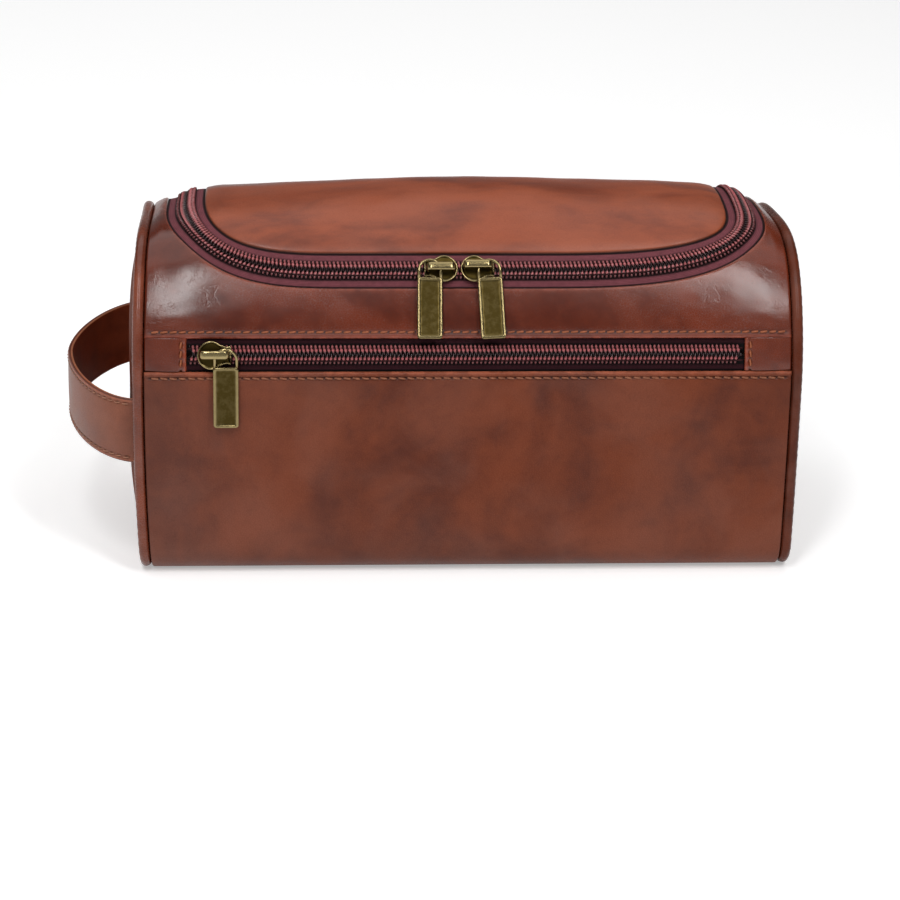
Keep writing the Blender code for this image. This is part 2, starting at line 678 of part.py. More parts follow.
# Carry strap
sewn_share = (STRAP_SPAN / 2 - STRAP_HALF) / (VAULT - END_INSET)
strap_root = dome(sewn_share) + CLEAR


def bow(angle):
    """Point on the middle line of the strap, from its front end round to its back end."""
    across = math.cos(angle)
    y = -math.copysign(abs(across) ** STRAP_POINT, across) * STRAP_SPAN / 2
    reach = STRAP_REACH * max(math.sin(angle), 0.0) ** STRAP_POINT
    return Vector((-strap_root - reach, y, STRAP_HEIGHT))


def strap(name, inner, outer, start, end, look):
    """Length of the strap between two angles of its bow and two offsets of its thickness."""
    mesh = bmesh.new()
    angles = between(start, end, STRAP_STEPS)
    line = [bow(angle) for angle in angles]
    rings = []
    for i, point in enumerate(line):
        along = (line[min(i + 1, STRAP_STEPS)] - line[max(i - 1, 0)]).normalized()
        out = Vector((-along.y, along.x, 0))
        ring = []
        for offset, height in ((inner, -1), (outer, -1), (outer, 1), (inner, 1)):
            lift = Vector((0, 0, height * STRAP_WIDTH / 2))
            ring.append(mesh.verts.new(point + out * offset + lift))
        rings.append(ring)
    for near, far in zip(rings, rings[1:]):
        for i in range(4):
            j = (i + 1) % 4
            mesh.faces.new((near[i], near[j], far[j], far[i]))
    mesh.faces.new(rings[0])
    mesh.faces.new(rings[-1])
    return finish(name, mesh, look)


def knuckle(radius):
    """Round cutter about the line on which the strap swings."""
    outline = []
    for i in range(KNUCKLE_STEPS):
        angle = 2 * math.pi * i / KNUCKLE_STEPS
        outline.append((radius * math.cos(angle), radius * math.sin(angle)))
    cutter = prism("knuckle", outline, -STRAP_SPAN, STRAP_SPAN, STRAP_LOOK)
    turned = Matrix.Rotation(math.pi / 2, 4, 'X')
    cutter.matrix_world = Matrix.Translation((-strap_root, 0, STRAP_HEIGHT)) @ turned
    return cutter


for name, inner, outer, look in (
        ("strap_loop_outer", CLEAR / 2, STRAP_HALF, STRAP_LOOK),
        ("strap_loop_inner", -STRAP_HALF, -CLEAR / 2, STRAP_BACK_LOOK)):
    loop = strap(name, inner, outer, 0.0, math.pi, look)
    combine(loop, knuckle(KNUCKLE + CLEAR / 2), 'DIFFERENCE')
for name, start, end in (("strap_end_front", 0.0, math.pi / 2),
                         ("strap_end_back", math.pi / 2, math.pi)):
    sewn = strap(name, -STRAP_HALF, STRAP_HALF, start, end, STRAP_LOOK)
    combine(sewn, knuckle(KNUCKLE - CLEAR / 2), 'INTERSECT')


# The lid and the strap's loop hang on empties that lie on the lines they turn about
def hang_on(name, place, pieces):
    axis = bpy.data.objects.new(name, None)
    bpy.context.scene.collection.objects.link(axis)
    axis.location = place
    bpy.context.view_layer.update()
    for piece in pieces:
        piece.parent = axis
        piece.matrix_parent_inverse = axis.matrix_world.inverted()


made = bpy.data.objects
hang_on("lid_axis", skin(0.0, HINGE_GIRTH, 0.0),
        [made["lid_" + part] for part in ("panel", "padding", "lining", "zip_tape", "zip_coil")])
hang_on("strap_axis", (-strap_root, 0.0, STRAP_HEIGHT),
        [made["strap_loop_" + layer] for layer in ("outer", "inner")])
for piece in made:
    if piece.type == 'MESH':
        piece.data.shade_smooth()
        piece.data.set_sharp_from_angle(angle=SMOOTH_UNDER)
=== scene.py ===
# %% [markdown]
# # A leather shaving kit bag
# The bag is a half barrel of brown waxed leather: flat walls, a round roof and two domed ends with piped
# seams. A U-shaped zip opens the lid, a second zip closes a pocket in the front, and a strap loop is sewn to
# the left end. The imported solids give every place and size. Here each of them is dressed as the real thing:
# turned leather edges, stitches, wound zip coils, cast sliders and a cloth lining.

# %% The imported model
import math

import bpy
import numpy as np
from mathutils import Matrix, Vector


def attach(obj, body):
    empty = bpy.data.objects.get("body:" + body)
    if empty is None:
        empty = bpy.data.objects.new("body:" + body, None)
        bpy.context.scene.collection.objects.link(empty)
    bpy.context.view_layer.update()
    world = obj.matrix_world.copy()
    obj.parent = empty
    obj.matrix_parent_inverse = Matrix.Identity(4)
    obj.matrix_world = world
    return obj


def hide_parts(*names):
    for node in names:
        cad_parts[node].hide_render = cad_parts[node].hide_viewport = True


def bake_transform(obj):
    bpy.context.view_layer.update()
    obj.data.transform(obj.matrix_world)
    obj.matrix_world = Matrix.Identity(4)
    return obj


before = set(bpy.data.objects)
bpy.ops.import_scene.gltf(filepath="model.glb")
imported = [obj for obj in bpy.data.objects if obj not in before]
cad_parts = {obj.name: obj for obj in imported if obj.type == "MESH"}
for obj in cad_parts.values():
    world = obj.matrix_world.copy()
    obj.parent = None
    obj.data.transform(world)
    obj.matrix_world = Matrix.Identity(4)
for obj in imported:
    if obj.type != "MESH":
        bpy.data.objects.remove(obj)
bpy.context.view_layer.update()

# %% [markdown]
# ## The skin of the bag
# Leather can be modelled flat and then bent, or each point can be sent straight to its place on the bent
# form. The second way is used: a place is written as x along the bag and as girth, the distance along the
# cross-section, so that a seam or a zip that runs straight on the leather is straight here too. Girth is 0
# where the front wall meets the roof. All lengths are in metres.

# %% The cross-section
HALF = 0.1239            # middle of the bag to an end seam
VAULT = 0.065            # radius of the roof
SPRING = 0.076           # height at which the roof starts
BASE_CORNER = 0.012      # radius between a wall and the base
BASE_HALF = 0.046        # middle of the base to its seams
WALL = SPRING - BASE_CORNER
FLAT = VAULT - BASE_CORNER
QUARTER = BASE_CORNER * math.pi / 2
OVER = VAULT * math.pi
MM = 0.001


def section(girth, depth):
    """(y, z) of a place on the cross-section, sunk below the skin."""
    girth, depth = np.broadcast_arrays(np.asarray(girth, float), np.asarray(depth, float))
    behind = girth > OVER / 2
    near = np.where(behind, OVER - girth, girth)
    down = np.maximum(-near, 0.0)
    roof = np.maximum(near, 0.0) / VAULT
    turn = np.clip((down - WALL) / BASE_CORNER, 0.0, math.pi / 2)
    where = [near >= 0, down <= WALL, down <= WALL + QUARTER]
    y = np.select(where, [(depth - VAULT) * np.cos(roof), depth - VAULT,
                          (depth - BASE_CORNER) * np.cos(turn) - FLAT], down - WALL - QUARTER - FLAT)
    z = np.select(where, [SPRING + (VAULT - depth) * np.sin(roof), SPRING - down,
                          BASE_CORNER + (depth - BASE_CORNER) * np.sin(turn)], depth)
    return np.where(behind, -y, y), z


def on_base(y):
    """Girth of a place on the flat base."""
    return -(WALL + QUARTER + FLAT + y)


print("girth over the roof: %.1f mm" % (OVER / MM))

# %% The soft sag of the form
MAIN_GIRTH = VAULT * math.radians(42.3)       # front run of the lid's zip
POCKET_GIRTH = VAULT * math.radians(12.9)     # pocket zip
HINGE_GIRTH = VAULT * math.radians(145.0)     # seam on which the lid turns
CROWN_LOW = 0.0010
CROWN_DROP, CROWN_POWER = {-1: 0.0064, 1: 0.0048}, {-1: 1.3, 1: 2.0}
SHOULDER_DROP = {-1: 0.0042, 1: 0.0048}
SHOULDER_IN, SHOULDER_OUT = {-1: 0.0190, 1: 0.0165}, {-1: 0.0060, 1: 0.0020}      # from the end seam
RIM_DROP = {-1: 0.0026, 1: 0.0032}
RIM_IN, RIM_OUT = 0.0050, -0.0024
END_ARCH = math.radians(28.0), math.radians(176.0)
TOP_LEAN = {-1: 0.0012, 1: 0.0006}
FOOT_LEAN = {-1: 0.0018, 1: 0.0005}
FOOT_HEIGHT = 0.0600


def by_end(x, values):
    """Value of the left or the right half of the bag at each x."""
    return np.where(np.asarray(x) > 0, values[1], values[-1])


def eased(share):
    """Smooth step from 0 to 1."""
    share = np.clip(share, 0.0, 1.0)
    return share ** 2 * (3 - 2 * share)


def arch(share):
    return np.sin(math.pi * np.clip(share, 0.0, 1.0)) ** 2


def crown_fall(x, girth):
    """How far the roof has dropped: over its whole length, at the shoulders and at the end seams."""
    inside = HALF - np.abs(x)
    along = np.minimum(np.abs(x) / HALF, 1.0)
    first, last = by_end(x, SHOULDER_IN), by_end(x, SHOULDER_OUT)
    roof = CROWN_LOW + by_end(x, CROWN_DROP) * along ** by_end(x, CROWN_POWER)
    ends = (by_end(x, SHOULDER_DROP) * eased((first - inside) / (first - last))
            + by_end(x, RIM_DROP) * eased((RIM_IN - inside) / (RIM_IN - RIM_OUT)))
    return (roof * arch((girth - MAIN_GIRTH) / (HINGE_GIRTH - MAIN_GIRTH))
            + ends * arch((girth / VAULT - END_ARCH[0]) / (END_ARCH[1] - END_ARCH[0])))


def end_lean(girth, x):
    """How far an end has moved in at this girth."""
    low = np.maximum(1 - section(girth, 0.0)[1] / FOOT_HEIGHT, 0.0)
    return by_end(x, TOP_LEAN) * arch(girth / OVER) + by_end(x, FOOT_LEAN) * low ** 2


def skin(x, girth, depth):
    """Points of the bag at places on its leather, sunk by depth."""
    x, girth, depth = np.broadcast_arrays(*(np.asarray(value, float) for value in (x, girth, depth)))
    y, z = section(girth, depth)
    return np.stack([x * (1 - end_lean(girth, x) / HALF), y, z - crown_fall(x, girth)], axis=-1)


print("crown at", np.round(skin(0.0, OVER / 2, 0.0) / MM, 1), "mm")

# %% [markdown]
# ## Mesh helpers
# Four small shapes make nearly everything here: a shell with a top and an underside, a round strand along a
# path, a stack of outlines for cast metal, and a list of meshes put together as one. Writing the points with
# numpy keeps the fine meshes quick to make. Each mesh can carry named numbers on its points, which the
# materials read, for example how near a point is to an edge that is painted pale for wear and as a
# highlight.

# %% Shells
def grid_faces(rows, columns, start=0):
    index = start + np.arange(rows * columns).reshape(rows, columns)
    corners = (index[:-1, :-1], index[:-1, 1:], index[1:, 1:], index[1:, :-1])
    return np.stack(corners, axis=-1).reshape(-1, 4)


def outward(points, faces):
    """Turn every face over if the closed mesh is inside out."""
    a, b, c, d = (points[faces[:, corner]] for corner in range(4))
    volume = np.sum(a * np.cross(b, c)) + np.sum(a * np.cross(c, d))
    return faces if volume > 0 else faces[:, ::-1]


def shell(top, low):
    """Closed sheet between two grids of points of the same shape."""
    rows, columns = top.shape[:2]
    count = rows * columns
    index = np.arange(count).reshape(rows, columns)
    rim = np.concatenate([index[0, :-1], index[:-1, -1], index[-1, :0:-1], index[:0:-1, 0]])
    after = np.roll(rim, -1)
    side = np.stack([after, rim, rim + count, after + count], axis=-1)
    under = grid_faces(rows, columns, count)[:, ::-1]
    points = np.concatenate([top.reshape(-1, 3), low.reshape(-1, 3)])
    return points, outward(points, np.concatenate([grid_faces(rows, columns), under, side])).tolist()


# %% Strands, stacks and sums
def unit(vectors):
    return vectors / np.linalg.norm(vectors, axis=-1, keepdims=True)


def tube_faces(sides, rings, loop=False, turned=False):
    """Faces round a row of rings, closed by a cap at each end or by joining the ends."""
    index = np.arange(rings * sides).reshape(rings, sides)
    caps = [] if loop else [index[0].tolist(), index[-1, ::-1].tolist()]
    index = np.hstack([index, index[:, :1]])
    if loop:
        index = np.vstack([index, index[:1]])
    corners = [index[:-1, :-1], index[1:, :-1], index[1:, 1:], index[:-1, 1:]]
    if turned:
        corners = [corners[0]] + corners[:0:-1]
        caps = [cap[::-1] for cap in caps]
    return np.stack(corners, axis=-1).reshape(-1, 4).tolist() + caps


def strand(path, radius, up, sides=6, loop=False, flat=1.0):
    """Round strand along a path. Up is a direction that the path never takes; flat squashes along it."""
    ahead = np.roll(path, -1, 0) - np.roll(path, 1, 0) if loop else np.gradient(path, axis=0)
    ahead = unit(ahead)
    across = unit(np.cross(ahead, np.broadcast_to(up, path.shape)))
    lift = np.cross(across, ahead)
    turn = np.arange(sides) * 2 * math.pi / sides
    ring = across[:, None] * np.cos(turn)[None, :, None] + flat * lift[:, None] * np.sin(turn)[None, :, None]
    size = np.broadcast_to(radius, (len(path),))[:, None, None]
    points = (path[:, None] + ring * size).reshape(-1, 3)
    return points, tube_faces(sides, len(path), loop)


def stack(outline, layers):
    """Solid from one outline, drawn anticlockwise: each layer gives its inset and its height."""
    outline = np.asarray(outline, float)
    along = unit(np.roll(outline, -1, 0) - np.roll(outline, 1, 0))
    out = np.column_stack([along[:, 1], -along[:, 0]])
    rings = [np.column_stack([outline - out * inset, np.full(len(outline), height)])
             for inset, height in layers]
    return np.concatenate(rings), tube_faces(len(outline), len(layers), turned=True)


def joined(parts):
    """One mesh from several."""
    points, faces, count = [], [], 0
    for part_points, part_faces in parts:
        points.append(part_points)
        faces += [[corner + count for corner in face] for face in part_faces]
        count += len(part_points)
    return np.concatenate(points), faces


# %% Pieces
def add_piece(name, mesh_parts, finish, body, stands_for=(), marks=None):
    """Object from (points, faces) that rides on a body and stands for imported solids."""
    points, faces = mesh_parts
    mesh = bpy.data.meshes.new(name)
    mesh.from_pydata(np.asarray(points).tolist(), [], faces)
    for mark, values in (marks or {}).items():
        mesh.attributes.new(mark, 'FLOAT', 'POINT').data.foreach_set("value", np.ravel(values))
    mesh.materials.append(finish)
    mesh.shade_smooth()
    piece = bpy.data.objects.new(name, mesh)
    bpy.context.scene.collection.objects.link(piece)
    if body:
        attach(piece, body)
    if stands_for:
        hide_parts(*stands_for)
    print(name, len(faces), "faces")
    return piece


def stepped(length, start, end, step):
    """Distances from 0 to length: given ones from both ends, even steps between them."""
    count = max(int(round((length - start[-1] - end[-1]) / step)), 1)
    middle = np.linspace(start[-1], length - end[-1], count + 1)[1:-1]
    return np.concatenate([start, middle, length - np.asarray(end)[::-1]])


def ripples(x, girth, wave, seed, lines=14):
    """Soft unevenness of about 1 in height, from seeded sine waves near one wavelength."""
    chance = np.random.default_rng(seed)
    total = 0.0
    for _ in range(lines):
        heading, phase = chance.uniform(0, 2 * math.pi, 2)
        pace = 2 * math.pi / (wave * chance.uniform(0.7, 1.6))
        total = total + np.sin(pace * (x * math.cos(heading) + girth * math.sin(heading)) + phase)
    return total / math.sqrt(lines)


# %% [markdown]
# ## Shared effects
# Several finishes share the same behaviour: hide that is mottled in soft patches under a wax bloom with some
# painted light, fine grain, edges painted pale for wear and as a highlight with painted shade in needle
# holes, woven yarns with painted shade where a coil or the leather shades them. Each of these is a shader node
# group with its own inputs, built once and placed in each material with other values. A group only puts out
# colours, masks and heights; the shader stays in the material, where its plain numbers are easy to find.

# %% Node helpers
def node(tree, kind, inputs=None, **settings):
    """New node with settings; an input is a value or the socket that feeds it."""
    made = tree.nodes.new(kind)
    for name, value in settings.items():
        setattr(made, name, value)
    for socket, value in (inputs or {}).items():
        if isinstance(value, bpy.types.NodeSocket):
            tree.links.new(value, made.inputs[socket])
        else:
            made.inputs[socket].default_value = value
    return made


def maths(tree, operation, *values):
    return node(tree, 'ShaderNodeMath', dict(enumerate(values)), operation=operation).outputs[0]


def remap(tree, value, low, high, start=0.0, end=1.0):
    """Value taken smoothly from the range low..high to start..end."""
    made = node(tree, 'ShaderNodeMapRange', {"Value": value, "From Min": low, "From Max": high,
                                             "To Min": start, "To Max": end},
                interpolation_type='SMOOTHSTEP')
    return made.outputs["Result"]


def blend_colours(tree, factor, first, second, way='MIX'):
    made = node(tree, 'ShaderNodeMix', {0: factor, 6: first, 7: second}, data_type='RGBA', blend_type=way)
    return made.outputs[2]


def noise(tree, where, scale, detail=2.0, roughness=0.5, distortion=0.0):
    inputs = {"Vector": where, "Scale": scale, "Detail": detail, "Roughness": roughness,
              "Distortion": distortion}
    return node(tree, 'ShaderNodeTexNoise', inputs).outputs[0]


def effect(name, inputs, outputs):
    """Empty node group with its sockets: the tree, what comes in and what goes out."""
    tree = bpy.data.node_groups.new(name, 'ShaderNodeTree')
    for socket, value in inputs.items():
        kind = 'NodeSocketColor' if isinstance(value, tuple) else 'NodeSocketFloat'
        made = tree.interface.new_socket(socket, in_out='INPUT', socket_type=kind)
        made.default_value = value
    for socket, kind in outputs.items():
        tree.interface.new_socket(socket, in_out='OUTPUT', socket_type='NodeSocket' + kind)
    return tree, tree.nodes.new('NodeGroupInput').outputs, tree.nodes.new('NodeGroupOutput').inputs


def place_on_piece(tree):
    return node(tree, 'ShaderNodeTexCoord').outputs["Object"]


def mark_on_mesh(tree, name):
    """A number that the mesh carries on its points; 0 where it has none."""
    return node(tree, 'ShaderNodeAttribute', attribute_name=name).outputs["Fac"]


# %% Mottled hide
WAX_BLOOM = (0.40, 0.20, 0.155, 1)


def make_hide_tone():
    """Warm and dark patches of waxed hide, some tens of millimetres across, under a pale bloom of wax; a bloom
    number on the mesh adds painted light.
    """
    tree, given, out = effect(
        "hide_tone",
        {"Warm": (0.30, 0.08, 0.04, 1), "Dark": (0.12, 0.03, 0.02, 1), "Patches": 28.0, "Streak": 1.0,
         "Dark Share": 0.5, "Bloom": 0.2},
        {"Color": 'Color', "Patch": 'Float'})
    where = place_on_piece(tree)
    streak = node(tree, 'ShaderNodeCombineXYZ', {0: 1.0, 1: given["Streak"], 2: given["Streak"]}).outputs[0]
    stretched = node(tree, 'ShaderNodeVectorMath', {0: where, 1: streak}, operation='MULTIPLY').outputs[0]
    large = noise(tree, stretched, given["Patches"], 3.0, 0.55, 0.8)
    small = noise(tree, stretched, maths(tree, 'MULTIPLY', given["Patches"], 6.0), 4.0, 0.6, 0.4)
    blended = maths(tree, 'ADD', maths(tree, 'MULTIPLY', large, 0.78), maths(tree, 'MULTIPLY', small, 0.22))
    shift = maths(tree, 'SUBTRACT', blended, maths(tree, 'SUBTRACT', given["Dark Share"], 0.5))
    patch = remap(tree, shift, 0.30, 0.68)
    hide = blend_colours(tree, patch, given["Dark"], given["Warm"])
    shifted = node(tree, 'ShaderNodeVectorMath', {0: stretched, 1: (0.37, 0.11, 0.23)},
                   operation='ADD').outputs[0]
    clouds = noise(tree, shifted, maths(tree, 'MULTIPLY', given["Patches"], 1.4), 3.0, 0.5, 0.6)
    film = remap(tree, clouds, 0.36, 0.68)
    # Painted light: the mesh's bloom number makes the hide paler where more light falls on it.
    painted_paling = mark_on_mesh(tree, "bloom")
    bloom = maths(tree, 'MULTIPLY', maths(tree, 'ADD', film, painted_paling), given["Bloom"])
    tree.links.new(blend_colours(tree, bloom, hide, WAX_BLOOM), out["Color"])
    tree.links.new(patch, out["Patch"])
    return tree


# %% Grain of the hide
def make_hide_grain():
    """Height of fine pebbled grain, with longer creases where the hide is strained."""
    tree, given, out = effect(
        "hide_grain", {"Pebbles": 1100.0, "Creases": 0.3, "Crease Scale": 90.0},
        {"Height": 'Float', "Pits": 'Float'})
    where = place_on_piece(tree)
    cells = node(tree, 'ShaderNodeTexVoronoi', {"Vector": where, "Scale": given["Pebbles"]},
                 feature='DISTANCE_TO_EDGE').outputs["Distance"]
    pebble = remap(tree, cells, 0.0, 0.35)
    fine = noise(tree, where, maths(tree, 'MULTIPLY', given["Pebbles"], 1.7), 3.0, 0.6)
    folds = noise(tree, where, given["Crease Scale"], 4.0, 0.6, 1.2)
    valley = maths(tree, 'ABSOLUTE', maths(tree, 'SUBTRACT', folds, 0.5))
    strain = mark_on_mesh(tree, "strain")
    depth = maths(tree, 'ADD', given["Creases"], maths(tree, 'MULTIPLY', strain, 14.0))
    here = remap(tree, noise(tree, where, 75.0, 2.0, 0.5), 0.46, 0.62)
    line = remap(tree, valley, 0.0, 0.036, 1.0, 0.0)
    crease = maths(tree, 'MULTIPLY', line, maths(tree, 'MULTIPLY', depth, here))
    grain = maths(tree, 'ADD', maths(tree, 'MULTIPLY', pebble, 0.45), maths(tree, 'MULTIPLY', fine, 0.55))
    tree.links.new(maths(tree, 'SUBTRACT', grain, crease), out["Height"])
    tree.links.new(remap(tree, cells, 0.0, 0.12, 1.0, 0.0), out["Pits"])
    return tree


# %% Edges painted pale for wear and highlight, painted shade in needle holes
def make_edge_sheen_and_shade():
    """Masks for edges painted pale, for wear and as a highlight, and for painted shade in needle holes and
    along edges on a zip, from numbers on the mesh.
    """
    tree, given, out = effect("edge_sheen_and_shade", {"Amount": 1.0, "Break Up": 260.0},
                              {"Edge": 'Float', "Hole Shade": 'Float'})
    edge = mark_on_mesh(tree, "edge")
    hole = mark_on_mesh(tree, "hole")
    spots = noise(tree, place_on_piece(tree), given["Break Up"], 3.0, 0.6)
    broken = remap(tree, spots, 0.35, 0.65, 0.35, 1.0)
    tree.links.new(maths(tree, 'MULTIPLY', maths(tree, 'MULTIPLY', edge, broken), given["Amount"]),
                   out["Edge"])
    tree.links.new(hole, out["Hole Shade"])
    return tree


# %% Woven yarns
def make_weave():
    """Twill of yarns that run along and across a tape or cloth, from distances on the mesh, and a mask that is
    0 where shade is painted.
    """
    tree, given, out = effect("weave", {"Yarn": 0.0005, "Slant": 1.0, "Shade To": 0.0, "Shade From": 1.0},
                              {"Height": 'Float', "Yarn Tone": 'Float', "Unshaded": 'Float'})
    along = mark_on_mesh(tree, "along")
    across = mark_on_mesh(tree, "across")
    pace = maths(tree, 'DIVIDE', 2 * math.pi, given["Yarn"])
    slope = maths(tree, 'ADD', maths(tree, 'MULTIPLY', along, given["Slant"]), across)
    rib = maths(tree, 'SINE', maths(tree, 'MULTIPLY', across, pace))
    twill = maths(tree, 'SINE', maths(tree, 'MULTIPLY', slope, pace))
    height = maths(tree, 'ADD', maths(tree, 'MULTIPLY', rib, 0.22), maths(tree, 'MULTIPLY', twill, 0.28))
    tree.links.new(maths(tree, 'ADD', height, 0.5), out["Height"])
    tree.links.new(noise(tree, place_on_piece(tree), 420.0, 3.0, 0.6), out["Yarn Tone"])
    # Painted shade: the mask is 0 under the coil and past the leather's edge, where these shade the tape.
    past = remap(tree, maths(tree, 'SUBTRACT', across, given["Shade To"]), -0.0006, 0.0006)
    before = remap(tree, maths(tree, 'SUBTRACT', given["Shade From"], across), -0.0003, 0.0004)
    tree.links.new(maths(tree, 'MULTIPLY', past, before), out["Unshaded"])
    return tree


# %% Tarnish
def make_tarnish():
    """Mask of dark film on brass: thick in hollows, rubbed off raised rims, with fine scuffs."""
    tree, given, out = effect("tarnish", {"Film": 0.6}, {"Film": 'Float', "Scuff": 'Float'})
    rim = mark_on_mesh(tree, "rim")
    where = place_on_piece(tree)
    cloud = remap(tree, noise(tree, where, 420.0, 4.0, 0.6), 0.3, 0.7, -0.06, 0.06)
    left = maths(tree, 'SUBTRACT', given["Film"], maths(tree, 'MULTIPLY', rim, given["Film"]))
    film = maths(tree, 'ADD', left, cloud)
    tree.links.new(node(tree, 'ShaderNodeClamp', {0: film}).outputs[0], out["Film"])
    tree.links.new(noise(tree, where, 2600.0, 2.0, 0.7), out["Scuff"])
    return tree


effects = {"tone": make_hide_tone(), "grain": make_hide_grain(), "edge_sheen_and_shade": make_edge_sheen_and_shade(),
           "weave": make_weave(), "tarnish": make_tarnish()}
print("effects:", ", ".join(effects))

# %% [markdown]
# ## Finishes
# The leather is one waxed brown hide. Each panel could have a material drawn by hand, but then they would
# not look like one hide: the same material with other numbers makes the pocket front, the glossier yoke, the
# lid with its long streaks, the piping and the strap. The lid's copy is painted lighter, for the light that
# falls on it from above, and the yoke's copy darker, for the shade it lies in. The right end and its piping
# are painted darker, for the shade on that side. The gloss is a soft wax sheen, so the roughness drops a
# little where the hide is dark with wax, and numbers on the mesh make it dull where a seam pulls it in.

# %% Leather
PEBBLES = 1100.0                        # grains per metre
# Painted shade in needle holes and along leather edges that stand on a zip tape.
HOLE_SHADE = (0.012, 0.006, 0.004, 1)


def new_finish(name):
    made = bpy.data.materials.new(name)
    made.use_nodes = True
    return made, made.node_tree, made.node_tree.nodes["Principled BSDF"]


def use(tree, name, values):
    """An effect group placed in a material with its own values."""
    made = node(tree, 'ShaderNodeGroup', node_tree=effects[name])
    for socket, value in values.items():
        made.inputs[socket].default_value = value
    return made.outputs


# rubbed sets how pale the edges are painted: partly for wear, partly as a painted highlight on the turned edge.
def leather(name, warm, dark, patches=26.0, streak=1.0, dark_share=0.5, creases=0.25, crease_scale=90.0,
            rubbed=0.6, roughness=(0.36, 0.46), bump=0.25, shine=0.25, bloom=0.12):
    """Waxed hide: mottled colour, pebbled grain, edges painted pale for wear and as a highlight, and painted
    shade in needle holes and along edges on a zip.
    """
    made, tree, shader = new_finish(name)
    tone = use(tree, "tone", {"Warm": (*warm, 1), "Dark": (*dark, 1), "Patches": patches, "Streak": streak,
                              "Dark Share": dark_share, "Bloom": bloom})
    grain = use(tree, "grain", {"Pebbles": PEBBLES, "Creases": creases, "Crease Scale": crease_scale})
    edge_masks = use(tree, "edge_sheen_and_shade", {"Amount": rubbed, "Break Up": 260.0})
    pitted = blend_colours(tree, maths(tree, 'MULTIPLY', grain["Pits"], 0.16), tone["Color"],
                           (*(value * 0.4 for value in dark), 1))
    # Edges are painted pale, partly for rubbed wear and partly as a painted highlight on the turned edge.
    pale = tuple(min(value * 2.2 + 0.025, 1.0) for value in warm)
    sheened_edges = blend_colours(tree, edge_masks["Edge"], pitted, (*pale, 1))
    # Painted shade in the needle holes and along edges on a zip tape.
    shaded_holes = blend_colours(tree, maths(tree, 'MULTIPLY', edge_masks["Hole Shade"], 0.85), sheened_edges, HOLE_SHADE)
    tree.links.new(shaded_holes, shader.inputs["Base Color"])
    gloss = maths(tree, 'ADD', remap(tree, tone["Patch"], 0.0, 1.0, *roughness),
                  maths(tree, 'MULTIPLY', grain["Pits"], 0.08))
    matt = mark_on_mesh(tree, "matt")
    tree.links.new(maths(tree, 'MULTIPLY_ADD', matt, 0.35, gloss), shader.inputs["Roughness"])
    raised = node(tree, 'ShaderNodeBump', {"Strength": bump, "Distance": 0.00016, "Height": grain["Height"]})
    tree.links.new(raised.outputs[0], shader.inputs["Normal"])
    shader.inputs["Specular IOR Level"].default_value = shine
    return made


pocket_leather = leather("pocket_leather", (0.190, 0.041, 0.014), (0.080, 0.015, 0.006), 22.0, 1.0, 0.50,
                         rubbed=0.9, shine=0.2, bloom=0.08)
# The yoke's copy of the hide is painted darker for the shade it lies in.
yoke_leather = leather("yoke_leather", (0.180, 0.029, 0.009), (0.076, 0.011, 0.004), 24.0, 1.2, 0.50,
                       creases=0.3, crease_scale=110.0, rubbed=0.9, roughness=(0.18, 0.22), bump=0.05,
                       shine=0.5, bloom=0.02)
# The lid's copy of the hide is painted lighter for the light that falls on it from above.
lid_leather = leather("lid_leather", (0.335, 0.072, 0.025), (0.150, 0.028, 0.011), 18.0, 2.0, 0.44,
                      roughness=(0.28, 0.36), bump=0.12, shine=0.35, bloom=0.06)
back_leather = leather("back_leather", (0.280, 0.066, 0.027), (0.150, 0.032, 0.014), 24.0, 1.0, 0.5)
END_HIDE = {"creases": 0.3, "roughness": (0.52, 0.60), "shine": 0.03}
end_leather = leather("end_leather", (0.200, 0.047, 0.021), (0.105, 0.023, 0.010), **END_HIDE)
# The right end is painted darker for the shade on that side of the bag.
shaded_end_leather = leather("shaded_end_leather", (0.125, 0.028, 0.012), (0.065, 0.014, 0.006), **END_HIDE)
PIPING_HIDE = {"patches": 40.0, "creases": 0.4, "crease_scale": 220.0, "rubbed": 0.4,
               "roughness": (0.20, 0.26), "bump": 0.15}
# The right piping is painted darker for the shade on that side of the bag.
shaded_piping_leather = leather("shaded_piping_leather", (0.130, 0.028, 0.012), (0.065, 0.014, 0.006),
                              shine=0.15, **PIPING_HIDE)
piping_leather = leather("piping_leather", (0.230, 0.050, 0.021), (0.115, 0.024, 0.011), shine=0.4,
                         **PIPING_HIDE)
strap_leather = leather("strap_leather", (0.290, 0.095, 0.052), (0.180, 0.056, 0.032), 30.0, 1.0, 0.48)
strap_back_leather = leather("strap_back_leather", (0.260, 0.054, 0.021), (0.150, 0.029, 0.011), 40.0,
                             roughness=(0.55, 0.65), shine=0.15, bloom=0.0)
print("leathers:", len(bpy.data.materials))


# %% Edge paint, thread, tape, coil and cloth
THREAD_FIBRES = (600.0, 0.6, 0.6, 2600.0)      # scale of the clouds, roughness, bump and its scale
PAINT_SKIN = (90.0, 0.42, 0.3, 900.0)
TAPE_YARNS = (0.00062, 1.0, 0.70, 0.6)         # width of a yarn, slant, roughness and bump
COIL_SHADE_REACH = 0.0043                            # a tape is painted with shade up to here, from the middle of its zip, where its coil shades it


